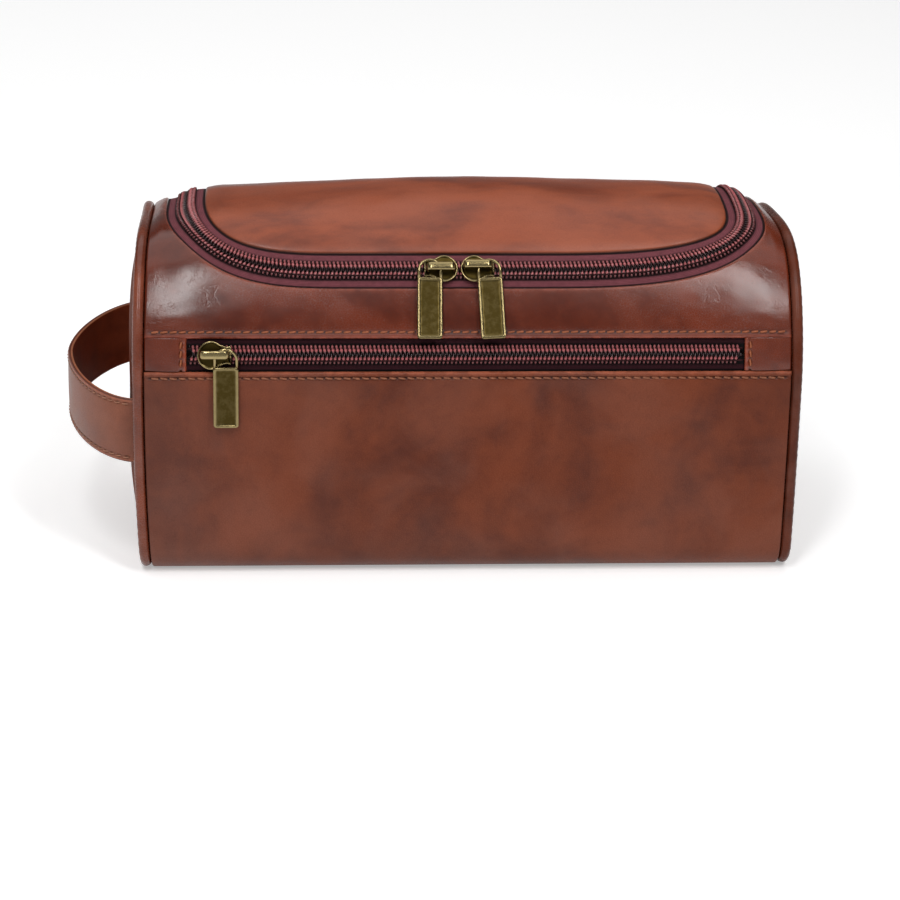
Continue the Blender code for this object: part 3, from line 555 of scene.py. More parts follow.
def plain_grained(name, first, second, scale, roughness, bump, bump_scale, shine=0.5):
    """Two close tones in fine clouds with a fine rough surface: edge paint, thread, foam and board."""
    made, tree, shader = new_finish(name)
    where = place_on_piece(tree)
    cloud = remap(tree, noise(tree, where, scale, 3.0, 0.6), 0.3, 0.7)
    tree.links.new(blend_colours(tree, cloud, (*first, 1), (*second, 1)), shader.inputs["Base Color"])
    tree.links.new(remap(tree, cloud, 0.0, 1.0, roughness - 0.05, roughness + 0.05),
                   shader.inputs["Roughness"])
    fine = noise(tree, where, bump_scale, 2.0, 0.6)
    raised = node(tree, 'ShaderNodeBump', {"Strength": bump, "Distance": 0.0001, "Height": fine})
    tree.links.new(raised.outputs[0], shader.inputs["Normal"])
    shader.inputs["Specular IOR Level"].default_value = shine
    return made


def woven(name, first, second, yarn, slant, roughness, bump, shade_to=-1.0, shade_from=1.0):
    """Woven tape or cloth whose yarns follow the mesh; a tape is painted with shade under its coil and along
    the leather's edge.
    """
    made, tree, shader = new_finish(name)
    yarns = use(tree, "weave", {"Yarn": yarn, "Slant": slant, "Shade To": shade_to, "Shade From": shade_from})
    lit = maths(tree, 'MULTIPLY', yarns["Height"], remap(tree, yarns["Yarn Tone"], 0.25, 0.75, 0.7, 1.2))
    yarn_colour = blend_colours(tree, lit, (*first, 1), (*second, 1))
    # The painted shade colour of a tape, nearly black.
    shade_colour = (*(value * 0.12 for value in first), 1)
    tree.links.new(blend_colours(tree, yarns["Unshaded"], shade_colour, yarn_colour), shader.inputs["Base Color"])
    tree.links.new(remap(tree, yarns["Yarn Tone"], 0.2, 0.8, roughness - 0.06, roughness + 0.04),
                   shader.inputs["Roughness"])
    raised = node(tree, 'ShaderNodeBump', {"Strength": bump, "Distance": 0.00015, "Height": yarns["Height"]})
    tree.links.new(raised.outputs[0], shader.inputs["Normal"])
    shader.inputs["Specular IOR Level"].default_value = 0.15
    return made


edge_paint = plain_grained("edge_paint", (0.400, 0.130, 0.055), (0.300, 0.090, 0.038), *PAINT_SKIN)
dark_edge_paint = plain_grained("dark_edge_paint", (0.160, 0.036, 0.017), (0.095, 0.020, 0.010), *PAINT_SKIN)
strap_thread = plain_grained("strap_thread", (0.420, 0.190, 0.110), (0.300, 0.125, 0.070), *THREAD_FIBRES)
leather_thread = plain_grained("leather_thread", (0.380, 0.105, 0.034), (0.250, 0.066, 0.022), *THREAD_FIBRES)
tan_thread = plain_grained("tan_thread", (0.330, 0.115, 0.050), (0.190, 0.060, 0.026), *THREAD_FIBRES)
coil_thread = plain_grained("coil_thread", (0.040, 0.011, 0.012), (0.018, 0.005, 0.006), 700.0, 0.7, 0.5,
                            2600.0, 0.1)
foam = plain_grained("foam", (0.075, 0.056, 0.047), (0.052, 0.039, 0.033), 400.0, 0.9, 0.6, 1200.0, 0.1)
fibreboard = plain_grained("fibreboard", (0.085, 0.080, 0.075), (0.055, 0.052, 0.050), 300.0, 0.65, 0.5,
                           900.0)
# The pocket's tape is painted darker than the lid's, for the shade of its deeper window.
zip_tape = woven("zip_tape", (0.075, 0.020, 0.025), (0.255, 0.070, 0.087), *TAPE_YARNS, COIL_SHADE_REACH, 0.0068)
pocket_tape = woven("pocket_tape", (0.014, 0.003, 0.005), (0.050, 0.009, 0.015), *TAPE_YARNS, COIL_SHADE_REACH,
                    0.0062)
lining_cloth = woven("lining_cloth", (0.045, 0.028, 0.023), (0.100, 0.062, 0.050), 0.00080, 1.0, 0.86, 0.4)


# %% Coil nylon
def nylon(name, bead, shade_colour):
    """Glossy dyed nylon, painted bright on the lit beads and nearly black as painted shade where the turns dip
    towards the middle and under the sewing.
    """
    made, tree, shader = new_finish(name)
    raised = mark_on_mesh(tree, "raised")
    tree.links.new(blend_colours(tree, raised, (*shade_colour, 1), (*bead, 1)), shader.inputs["Base Color"])
    cloud = noise(tree, place_on_piece(tree), 900.0, 2.0, 0.5)
    tree.links.new(remap(tree, cloud, 0.3, 0.7, 0.22, 0.34), shader.inputs["Roughness"])
    return made


# Bright colour of the lit beads, and a painted shade colour for the rest of the spring.
coil_nylon = nylon("coil_nylon", (0.480, 0.125, 0.130), (0.014, 0.004, 0.005))


# %% Antique brass
def brass(name, clean, film_colour, film):
    """Plated brass under a dark film that is rubbed off the raised rims."""
    made, tree, shader = new_finish(name)
    tarnish = use(tree, "tarnish", {"Film": film})
    colour = blend_colours(tree, tarnish["Film"], (*clean, 1), (*film_colour, 1))
    tree.links.new(colour, shader.inputs["Base Color"])
    shader.inputs["Metallic"].default_value = 1.0
    rough = maths(tree, 'ADD', remap(tree, tarnish["Film"], 0.0, 1.0, 0.20, 0.33),
                  remap(tree, tarnish["Scuff"], 0.3, 0.7, -0.04, 0.06))
    tree.links.new(rough, shader.inputs["Roughness"])
    scuffed = {"Strength": 0.12, "Distance": 0.00005, "Height": tarnish["Scuff"]}
    raised = node(tree, 'ShaderNodeBump', scuffed)
    tree.links.new(raised.outputs[0], shader.inputs["Normal"])
    return made


antique_brass = brass("antique_brass", (0.330, 0.260, 0.125), (0.052, 0.036, 0.009), 0.92)
print("finishes:", len(bpy.data.materials))

# %% [markdown]
# ## Turned edges and sewn seams
# Each leather panel is 2 mm thick and its edges are turned over, so they end in a half round. Where a panel
# is sewn down, a row of stitches runs beside the edge: the thread pulls a groove into the leather, every
# needle hole pinches it, and between the holes the edge puffs up. A bump map could fake that, but the light
# along the edge and its outline would stay straight, so the relief is in the mesh.

# %% Relief of an edge and of a seam
LEATHER = 2.0 * MM
ROLL = 0.95 * MM                       # radius of a turned edge
ROLL_STEPS = ROLL * (1 - np.cos(np.radians([0, 22, 45, 68, 90])))
PITCH = 3.47 * MM                      # from needle hole to needle hole
SEAM_IN = 2.45 * MM                    # stitch line to the turned edge
SEAM_STEPS = np.concatenate([ROLL_STEPS, np.arange(1.25, 4.8, 0.25) * MM])
PUFF_IN = 1.25 * MM                    # middle of the puffs to the turned edge
PUFF, GROOVE, HOLE = 0.32, 0.28, 0.55  # height of the puffs and depths of groove and holes, in mm


def rolled(distance, radius=ROLL):
    """Depth of a turned edge at a distance from it."""
    left = np.clip(1 - distance / radius, 0.0, 1.0)
    return radius * (1 - np.sqrt(1 - left ** 2))


def bell(distance, width):
    return np.exp(-(distance / width) ** 2)


def seam_relief(along, inward):
    """Height of the leather along a row of stitches, and the mask of painted shade in its needle holes."""
    beat = (along / PITCH) % 1.0
    off_hole = (np.minimum(beat, 1 - beat)) * PITCH
    hole = bell(off_hole, 0.55 * MM) * bell(inward - SEAM_IN, 0.50 * MM)
    groove = bell(inward - SEAM_IN, 0.55 * MM)
    puff = np.sin(math.pi * beat) ** 2 * bell(inward - PUFF_IN, 0.8 * MM)
    return (PUFF * puff - GROOVE * groove - HOLE * hole) * MM, hole


def edge_wear_and_sheen(distance, width=1.9 * MM):
    """Pale paint of an edge, for its wear and as a painted highlight, from 1 on it to 0 at the width."""
    return np.clip(1 - distance / width, 0.0, 1.0) ** 1.4


def edge_shade_line(distance):
    """Painted shade line along a raw edge that stands on a zip tape."""
    return np.clip(1.5 - distance / (0.42 * MM), 0.0, 1.0)


def panel(x, girth, top, low):
    """Shell between two depths over a grid of places."""
    return shell(skin(x, girth, top), skin(x, girth, low))


def off_floor(girth):
    """0 on the base and 1 up the walls: leather that stands on the floor lies flat."""
    near = np.minimum(girth, OVER - girth)
    return np.clip((near + WALL + QUARTER / 2) / (25 * MM), 0.0, 1.0)


def both_faces(values):
    """Number for the points of a shell: the top's own, and 0 on the underside."""
    values = np.ravel(values)
    return np.concatenate([values, np.zeros_like(values)])


# %% Stitches
THREAD, THREAD_SUNK = 0.40 * MM, 0.12 * MM       # radius, and how far the pull of the thread sinks a row
STITCH_DIVE, STITCH_RISE = 0.42 * MM, 0.22 * MM  # depth of the thread at a hole, and its height between holes
STITCH_SLANT = 0.24 * MM                         # a stitch runs from this far on one side to the other
WELL_ABOVE = 5 * MM


def stitch_row(place, start, end, radius=THREAD):
    """Thread from hole to hole. Place gives points for distances along, across and above the seam."""
    parts = []
    share = np.linspace(0.13, 0.87, 9)
    across = STITCH_SLANT * (1 - 2 * share)
    height = -STITCH_DIVE + (STITCH_DIVE + STITCH_RISE) * np.sin(math.pi * share) ** 0.6
    for hole in np.arange(start, end - PITCH / 2, PITCH):
        path = place(hole + share * PITCH, across, height)
        above = place(hole + share * PITCH, across, np.full_like(share, WELL_ABOVE)) - path
        parts.append(strand(path, radius * (0.62 + 0.38 * np.sin(math.pi * share)), above, 8, flat=0.8))
    return joined(parts)


def straight_seam(edge, inward):
    """Places of a seam along the bag: girth of the turned edge, and 1 if the hide lies above it, else -1."""
    def place(along, shift, rise):
        return skin(along, edge + inward * (SEAM_IN - shift), THREAD_SUNK - rise)
    return place


print("stitches every %.2f mm" % (PITCH / MM))

# %% [markdown]
# ## The front pocket panel
# One piece of leather runs from the pocket zip down the front and round under the bag. The hide is not dead
# flat: over the soft padding it swells a little and keeps shallow waves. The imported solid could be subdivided
# and pushed about, but its faces don't follow the seam. A grid of its own is fine along the top edge, where
# the hide is sewn to the zip tape, and coarser below.

# %% Pocket panel
POCKET_WINDOW = 13.4 * MM
POCKET_TOP = POCKET_GIRTH - POCKET_WINDOW / 2
SEAM_STEP = PITCH / 6
SEAM_GAP, SEAM_MARGIN = 0.3 * MM, 2.0 * MM      # between two sewn edges; from an end seam to what stops short
front_foot = on_base(-BASE_HALF - SEAM_GAP)
columns = stepped(2 * HALF, ROLL_STEPS, ROLL_STEPS, SEAM_STEP) - HALF
rows = front_foot + stepped(POCKET_TOP - front_foot, ROLL_STEPS, SEAM_STEPS, 1.25 * MM)
x, girth = np.meshgrid(columns, rows)
from_top, from_end = POCKET_TOP - girth, HALF - np.abs(x)
relief, hole = seam_relief(x, from_top)
fade = np.clip(np.minimum(from_top, from_end) / (9 * MM), 0, 1) * off_floor(girth)
soft = 0.35 * MM * ripples(x, girth, 55 * MM, 3) + 0.10 * MM * ripples(x, girth, 16 * MM, 4)
roll = np.maximum.reduce([rolled(from_top), rolled(from_end), rolled(girth - front_foot)])
top = roll - relief - soft * fade
low = LEATHER - np.maximum(rolled(from_top), rolled(from_end))
# Painted light: the front is painted paler towards its bottom and towards its left end.
bloom = np.clip((from_top - 45 * MM) / (30 * MM), 0, 1.6) + np.clip((-x - 40 * MM) / (60 * MM), 0, 1.1)
# The top edge is painted pale for wear and as a highlight; the needle holes get painted shade.
add_piece("pocket_front", panel(x, girth, top, low), pocket_leather, "bag_body", ["front_pocket_panel"],
          {"edge": both_faces(edge_wear_and_sheen(from_top)), "hole": both_faces(hole),
                            "bloom": both_faces(bloom)})


def stitched(name, place, thread):
    """Row of stitches from end to end of the bag, with a needle hole in its middle."""
    last_hole = math.floor((HALF - SEAM_MARGIN) / PITCH) * PITCH
    add_piece(name, stitch_row(place, -last_hole, last_hole), thread, "bag_body")


stitched("pocket_stitching", straight_seam(POCKET_TOP, -1), tan_thread)

# %% [markdown]
# ## The yoke
# Above the pocket zip a yoke fills the front of the roof, turns the corners of the lid's zip and runs back
# along both ends as a narrow strip. Cutting the zip's shape out of a sheet with a boolean would leave ragged
# faces along the cut. Here the grid is made of rays that start on the zip's path and end on the pocket zip or
# on the end seam, so the turned edge follows the zip smoothly.

# %% The lid zip's path
ZIP_SIDE = 0.1105
ZIP_RUN = {-1: 0.066, 1: 0.093}        # length of a corner along the front
ZIP_RISE = {-1: 0.064, 1: 0.041}       # and along the side
SQUARENESS = 3.4                       # 2 would make the corners elliptic
CORNER_RAYS, SIDE_RAYS = 60, 34
MAIN_WINDOW = 15.0 * MM
YOKE_LAP = 0.5 * MM                    # how far the yoke reaches over the pocket's window
YOKE_FOOT = POCKET_GIRTH + POCKET_WINDOW / 2 - YOKE_LAP
YOKE_END = HINGE_GIRTH - SEAM_GAP


def corner_centre(side):
    return side * (ZIP_SIDE - ZIP_RUN[side]), MAIN_GIRTH + ZIP_RISE[side]


def corner_half(reach, size, other):
    """How far a squarish corner goes the other way where it reaches this far."""
    return other * np.maximum(1 - (reach / size) ** SQUARENESS, 0.0) ** (1 / SQUARENESS)


def half_rays(side):
    """Zip places, their outward directions and the yoke's outer places, from the corner to the hinge."""
    centre_x, centre_girth = corner_centre(side)
    run, rise = ZIP_RUN[side], ZIP_RISE[side]
    split = (run / rise) ** (SQUARENESS / (SQUARENESS - 1))      # where the corner faces 45 degrees
    split_down = ((split / run) ** SQUARENESS + (1 / rise) ** SQUARENESS) ** (-1 / SQUARENESS)
    foot = np.linspace(0, 1, int((HALF - abs(centre_x)) / SEAM_STEP))
    turn = np.linspace(1, 0, CORNER_RAYS)[1:]
    back = np.linspace(0, 1, SIDE_RAYS)[1:]
    across = np.concatenate([foot * split * split_down, corner_half(turn * split_down, rise, run)])
    down = np.concatenate([corner_half(foot * split * split_down, run, rise), turn * split_down])
    out = unit(np.column_stack([side * (across / run) ** (SQUARENESS - 1) / run,
                                -(down / rise) ** (SQUARENESS - 1) / rise]))
    path = np.column_stack([centre_x + side * across, centre_girth - down])
    side_girth = centre_girth + back * (YOKE_END - centre_girth)
    path = np.vstack([path, np.column_stack([np.full(len(back), side * ZIP_SIDE), side_girth])])
    out = np.vstack([out, np.tile([float(side), 0.0], (len(back), 1))])
    edge_x = np.concatenate([centre_x + (side * HALF - centre_x) * foot,
                             np.full(len(turn) + len(back), side * HALF)])
    edge_girth = np.concatenate([np.full(len(foot), YOKE_FOOT),
                                 centre_girth + (YOKE_FOOT - centre_girth) * turn, side_girth])
    return path, out, np.column_stack([edge_x, edge_girth])


def zip_rays():
    """The whole path from the hinge at the left, round the front, to the hinge at the right."""
    left, right = half_rays(-1), half_rays(1)
    start, end = left[0][0, 0], right[0][0, 0]
    front_x = np.linspace(start, end, int((end - start) / SEAM_STEP))[1:-1]
    front = (np.column_stack([front_x, np.full(len(front_x), MAIN_GIRTH)]),
             np.tile([0.0, -1.0], (len(front_x), 1)),
             np.column_stack([front_x, np.full(len(front_x), YOKE_FOOT)]))
    return [np.concatenate([a[::-1], b, c]) for a, b, c in zip(left, front, right)]


zip_path, zip_out, yoke_edge = zip_rays()
print("lid zip:", len(zip_path), "rays from hinge to hinge")

# %% Yoke
YOKE_RELIEF = 0.6                      # its seam is pulled less deep than the pocket's
DULL_LINE, DULL_WIDTH = 2.0 * MM, 1.2 * MM      # under the thread the hide has no gloss
LIP_PALE, LIP_WIDTH = 0.7, 2.4 * MM    # pale paint of the lip along the zip, for its wear and as a painted highlight
near = zip_path + zip_out * MAIN_WINDOW / 2
width = np.linalg.norm(yoke_edge - near, axis=1)[:, None]
inner = np.concatenate([ROLL_STEPS, [1.4 * MM, 2.0 * MM]])[None, :]
squeeze = np.minimum(1.0, 0.5 * width / SEAM_STEPS[-1])
outer = SEAM_STEPS[::-1][None, :] * squeeze
middle = np.linspace(0, 1, 20)[None, 1:-1]
inner = np.minimum(inner, 0.4 * width)
span = width - inner[:, -1:] - outer[:, :1]
reach = np.hstack([np.broadcast_to(inner, (len(width), inner.shape[1])), inner[:, -1:] + middle * span,
                   width - outer]) / width
places = near[:, None] + (yoke_edge - near)[:, None] * reach[:, :, None]
x, girth = places[..., 0], places[..., 1]
from_zip = reach * width
from_foot, from_end = girth - YOKE_FOOT, HALF - np.abs(x)
relief, hole = seam_relief(x, from_foot)
sewn = np.clip(from_end / (3 * MM), 0, 1)
fade = np.clip(np.minimum.reduce([from_zip, from_foot, from_end]) / (8 * MM), 0, 1)
strain = np.clip((np.abs(x) - 0.060) / 0.050, 0, 1)
soft = (0.09 * MM * ripples(x, girth, 60 * MM, 7) + 0.015 * MM * ripples(x, girth, 14 * MM, 8)
        + 0.03 * MM * strain * ripples(x + girth, 2.4 * girth, 15 * MM, 9))
pillow = 1.4 * MM * np.clip(1 - from_end / (26 * MM), 0, 1) ** 2
roll = np.maximum.reduce([rolled(from_zip), rolled(from_foot), rolled(from_end)])
top = roll + pillow - YOKE_RELIEF * relief * sewn - soft * fade
low = LEATHER + pillow - roll
# The lips are painted pale for wear and as a highlight; painted shade goes in the needle holes and along the
# edge on the zip.
lips = np.maximum(edge_wear_and_sheen(from_foot), LIP_PALE * edge_wear_and_sheen(from_zip, LIP_WIDTH))
marks = {"edge": both_faces(lips), "strain": both_faces(strain),
         "matt": both_faces(bell(from_foot - DULL_LINE, DULL_WIDTH)),
         "hole": both_faces(np.maximum(hole * sewn, edge_shade_line(from_zip)))}
add_piece("yoke", panel(x, girth, top, low), yoke_leather, "bag_body", ["front_yoke"], marks)
stitched("yoke_stitching", straight_seam(YOKE_FOOT, 1), leather_thread)

# %% [markdown]
# ## Lid, back and base
# The lid is one rounded sheet inside the zip. How far a place lies from the lid's edge is measured to the
# nearest point of the zip's path, which works for any shape of corner. The back panel carries on from the
# hinge seam to the base. The photograph doesn't show it, so its row of stitches along the hinge is a guess
# from the front's sewing.

# %% Lid
LID_GIRTH = 0.1                        # about, from the zip to the hinge


def from_lid_edge(x, girth):
    """Distance of each place on the lid from its edge along the zip."""
    rows = [np.hypot(row_x[:, None] - zip_path[:, 0], row_girth[:, None] - zip_path[:, 1]).min(axis=1)
            for row_x, row_girth in zip(x, girth)]
    return np.maximum(np.array(rows) - MAIN_WINDOW / 2, 0.0)


def lid_front(x, inset):
    """Girth of the lid's front edge at x, inset from the middle of the zip."""
    edge = zip_path - zip_out * inset
    turning = np.abs(zip_out[:, 0]) < 1 - 1e-9
    return np.interp(x, edge[turning, 0], edge[turning, 1])


def lid_places(inset, end, step, edge_steps):
    """Grid of places for a layer of the lid, fine along its edges."""
    side = ZIP_SIDE - inset
    columns = stepped(2 * side, edge_steps, edge_steps, step) - side
    front = lid_front(columns, inset)
    steps = np.asarray(edge_steps) / LID_GIRTH
    share = stepped(1.0, steps, steps, step / LID_GIRTH)
    girth = front[None, :] + (end - front)[None, :] * share[:, None]
    return np.broadcast_to(columns, girth.shape), girth


x, girth = lid_places(MAIN_WINDOW / 2, HINGE_GIRTH - SEAM_GAP, 1.3 * MM, np.append(ROLL_STEPS, 1.6 * MM))
from_edge, from_hinge = from_lid_edge(x, girth), HINGE_GIRTH - SEAM_GAP - girth
fade = np.clip(np.minimum(from_edge, from_hinge) / (10 * MM), 0, 1)
soft = (0.16 * MM * ripples(x, girth, 60 * MM, 11) + 0.06 * MM * ripples(x, girth, 18 * MM, 12)) * fade
roll = np.maximum(rolled(from_edge), rolled(from_hinge))
pillow = 1.0 * MM * np.clip(1 - from_edge / (8 * MM), 0, 1) ** 2
# A painted shade line runs along the lid's edge on the zip.
add_piece("lid_leather", panel(x, girth, roll + pillow - soft, LEATHER + pillow - roll), lid_leather, "lid",
          ["lid_panel"], {"hole": both_faces(edge_shade_line(from_edge))})

# %% Back
back_top, back_foot = HINGE_GIRTH + SEAM_GAP, OVER - front_foot
columns = stepped(2 * HALF, ROLL_STEPS, ROLL_STEPS, SEAM_STEP) - HALF
rows = back_top + stepped(back_foot - back_top, SEAM_STEPS, ROLL_STEPS, 1.6 * MM)
x, girth = np.meshgrid(columns, rows)
relief, hole = seam_relief(x, girth - back_top)
from_end, from_rim = HALF - np.abs(x), np.minimum(girth - back_top, back_foot - girth)
fade = np.clip(np.minimum(from_end, from_rim) / (10 * MM), 0, 1) * off_floor(girth)
soft = (0.35 * MM * ripples(x, girth, 55 * MM, 13) + 0.10 * MM * ripples(x, girth, 17 * MM, 14)) * fade
roll = np.maximum(rolled(from_end), rolled(from_rim))
# The rim is painted pale for wear and as a highlight; the needle holes get painted shade.
marks = {"edge": both_faces(edge_wear_and_sheen(from_rim)), "hole": both_faces(hole)}
add_piece("back_leather", panel(x, girth, roll - relief - soft, LEATHER - roll), back_leather, "bag_body",
          ["back_panel"], marks)
stitched("back_stitching", straight_seam(back_top, 1), leather_thread)

# %% Base
BASE_STEP = 2.5 * MM
rows = on_base(BASE_HALF) + stepped(2 * BASE_HALF, ROLL_STEPS, ROLL_STEPS, BASE_STEP)
x, girth = np.meshgrid(stepped(2 * HALF, ROLL_STEPS, ROLL_STEPS, BASE_STEP) - HALF, rows)
from_rim = np.minimum(HALF - np.abs(x), np.minimum(girth - rows[0], rows[-1] - girth))
roll = rolled(from_rim)
add_piece("base_leather", panel(x, girth, roll, LEATHER - roll), back_leather, "bag_body", ["base_panel"])

# %% [markdown]
# ## The zips
# A coil zip is two nylon springs sewn to woven tapes. Seen close, each spring shows as a row of slanted bars
# with a line of sewing thread pressed into it, and the two rows of heads mesh in the middle. A bump texture
# could show the bars from the front, but not when the lid is open and the teeth stand free. The springs are
# real helices here, leaned over a little: the heads of one side sit in the gaps of the other, half a turn on.
# The pocket's tapes lie deeper than the lid's, and their cloth is painted darker for the shade they lie in.
# Each tape is painted with shade under its coil and along the leather's edge, and the nylon is painted bright
# on the lit beads and nearly black as painted shade between them.

# %% Tapes
LID_TAPE, POCKET_TAPE_SUNK, TAPE_THICK = 1.6 * MM, 2.3 * MM, 0.7 * MM
TAPE_START, TAPE_REACH = 0.9 * MM, 10.5 * MM
TAPE_SWELL = 0.12 * MM
tape_across = np.linspace(TAPE_START, TAPE_REACH, 9)


def run_length(path):
    """Distance from the start of a path to each of its points."""
    return np.concatenate([[0], np.cumsum(np.linalg.norm(np.diff(path, axis=0), axis=1))])


def read_off(where, length, values):
    """Pairs of numbers read between the points of a path, at distances along it."""
    return np.stack([np.interp(where, length, values[:, k]) for k in range(2)], axis=-1)


def tape_mesh(path, out, sign, sunk):
    """Tape on one side of a zip, with the distances along and across it."""
    length = run_length(path)
    places = path[:, None] + sign * out[:, None] * tape_across[None, :, None]
    swell = TAPE_SWELL * np.sin(np.linspace(0, math.pi, len(tape_across)))[None, :]
    top = skin(places[..., 0], places[..., 1], sunk - swell)
    low = skin(places[..., 0], places[..., 1], sunk + TAPE_THICK - swell)
    along = np.broadcast_to(length[:, None], top.shape[:2]).ravel()
    across = np.broadcast_to(tape_across[None, :], top.shape[:2]).ravel()
    return shell(top, low), {"along": np.tile(along, 2), "across": np.tile(across, 2)}


def even_path(path, out, step):
    """The same path with points at even steps of its length."""
    length = run_length(path)
    even = np.arange(0, length[-1], step)
    return even, read_off(even, length, path), unit(read_off(even, length, out))


_, coarse_path, coarse_out = even_path(zip_path, zip_out, 1.5 * MM)
for sign, body, name in ((1, "bag_body", "body_zip_tape"), (-1, "lid", "lid_zip_tape")):
    mesh, marks = tape_mesh(coarse_path, coarse_out, sign, LID_TAPE)
    add_piece(name.replace("zip", "woven"), mesh, zip_tape, body, [name], marks)
POCKET_TAPE = HALF - SEAM_MARGIN
pocket_x = np.linspace(-POCKET_TAPE, POCKET_TAPE, 400)
pocket_path = np.column_stack([pocket_x, np.full(len(pocket_x), POCKET_GIRTH)])
pocket_out = np.tile([0.0, 1.0], (len(pocket_x), 1))
for sign, side in ((1, "upper"), (-1, "lower")):
    mesh, marks = tape_mesh(pocket_path, pocket_out, sign, POCKET_TAPE_SUNK)
    add_piece("pocket_woven_tape_" + side, mesh, pocket_tape, "bag_body", ["pocket_tape_" + side],
              marks)

# %% Coils
COIL_PITCH = 1.6 * MM
COIL_WIRE = 0.28 * MM
COIL_HEAD, COIL_BACK = -0.30 * MM, 3.55 * MM       # reach of the wire's middle from the zip's middle
COIL_TOP, COIL_FLOOR = 0.62 * MM, 1.75 * MM        # depths of the wire's middle
COIL_LEAN = 0.35                                   # slant of the turns
# Rows of beads: place, growth and length in mm, and brightness; the upper spring shows more of its outer row,
# which is also painted brighter for the light from above
UPPER_BEADS = ((1.50, 0.34, 0.50, 1.0), (3.05, 0.28, 0.75, 0.75))
LOWER_BEADS = ((1.50, 0.34, 0.50, 1.0), (3.15, 0.24, 0.45, 0.45))
COIL_SEWN = 2.35 * MM                              # line of the sewing between them
TURN_STEPS, WIRE_SIDES = 16, 8
SEWN_LOW, SEWN_HIGH = 0.75 * MM, 0.46 * MM         # depths of the sewing thread
COIL_STOP = 2.0 * MM                               # from the last turn to the hinge seam


def coil_mesh(path, out, sign, rows):
    """Spring along one side of a zip, and how brightly each of its points is painted as a lit bead."""
    even, path, out = even_path(path, out, COIL_PITCH / TURN_STEPS)
    turn = -2 * math.pi * even / COIL_PITCH + (math.pi if sign < 0 else 0.0)
    swing = np.sign(np.cos(turn)) * np.abs(np.cos(turn)) ** 0.8
    offset = (COIL_HEAD + COIL_BACK) / 2 + (COIL_BACK - COIL_HEAD) / 2 * swing
    lift = np.sign(np.sin(turn)) * np.abs(np.sin(turn)) ** 0.5
    above = np.clip(lift, 0.0, 1.0)
    beads = [bell(offset - place * MM, length * MM) * above for place, _, length, _ in rows]
    grown = sum(bead * growth * MM for bead, (_, growth, _, _) in zip(beads, rows))
    # Painted light: how brightly each point of a bead row is painted as lit.
    raised = sum(bead * bright for bead, (_, _, _, bright) in zip(beads, rows))
    pressed = (0.30 * bell(offset - COIL_SEWN, 0.40 * MM) + 0.40 * bell(offset - COIL_HEAD, 0.9 * MM)) * MM
    depth = (COIL_TOP + COIL_FLOOR) / 2 - (COIL_FLOOR - COIL_TOP) / 2 * lift + pressed * above
    ahead = np.gradient(skin(path[:, 0], path[:, 1], 1 * MM), axis=0)
    leaned = even - COIL_LEAN * offset
    places = read_off(leaned, even, path) + sign * read_off(leaned, even, out) * offset[:, None]
    line = skin(places[:, 0], places[:, 1], depth)
    kept = (even > COIL_PITCH) & (even < even[-1] - COIL_PITCH / 4)
    wire = strand(line[kept], (COIL_WIRE + grown)[kept], ahead[kept], WIRE_SIDES)
    return wire, {"raised": np.repeat(raised[kept], WIRE_SIDES)}


def coil_sewing(path, out, sign, sunk):
    """Thread that holds a spring down, dipping between its turns."""
    even, path, out = even_path(path, out, COIL_PITCH / 4)
    dip = 0.12 * MM * np.cos(2 * math.pi * even / COIL_PITCH)
    places = path + sign * out * COIL_SEWN
    line = skin(places[:, 0], places[:, 1], sunk + dip)
    above = skin(places[:, 0], places[:, 1], -WELL_ABOVE) - line
    return strand(line, 0.30 * MM, above, 6)


inside = zip_path[:, 1] < YOKE_END - COIL_STOP
coil_path, coil_out = zip_path[inside], zip_out[inside]
for sign, body, name, rows, sunk in ((1, "bag_body", "body", LOWER_BEADS, SEWN_HIGH),
                                     (-1, "lid", "lid", UPPER_BEADS, SEWN_LOW)):
    mesh, marks = coil_mesh(coil_path, coil_out, sign, rows)
    add_piece(name + "_coil", mesh, coil_nylon, body, [name + "_zip_coil"], marks)
    add_piece(name + "_coil_sewing", coil_sewing(coil_path, coil_out, sign, sunk), coil_thread, body)
END_TAB = {-1: 16.1 * MM, 1: 18.3 * MM}
inside = (pocket_x > END_TAB[-1] + SEAM_GAP - HALF) & (pocket_x < HALF - END_TAB[1] - SEAM_GAP)
coil_path, coil_out = pocket_path[inside], pocket_out[inside]
for sign, side, rows, sunk in ((1, "upper", UPPER_BEADS, SEWN_LOW), (-1, "lower", LOWER_BEADS, SEWN_HIGH)):
    mesh, marks = coil_mesh(coil_path, coil_out, sign, rows)
    add_piece("pocket_spring_" + side, mesh, coil_nylon, "bag_body", ["pocket_coil_" + side],
              marks)
    add_piece("pocket_sewing_" + side, coil_sewing(coil_path, coil_out, sign, sunk), coil_thread, "bag_body")

# %% [markdown]
# ## Tabs over the ends of the pocket zip
# A small square of the same hide covers each end of the pocket zip. Its inner edge is turned and sewn down
# with one row of stitches across the zip. A plain block with a bevel would be enough from afar; a small grid
# with the same seam relief as the panels matches them close up.

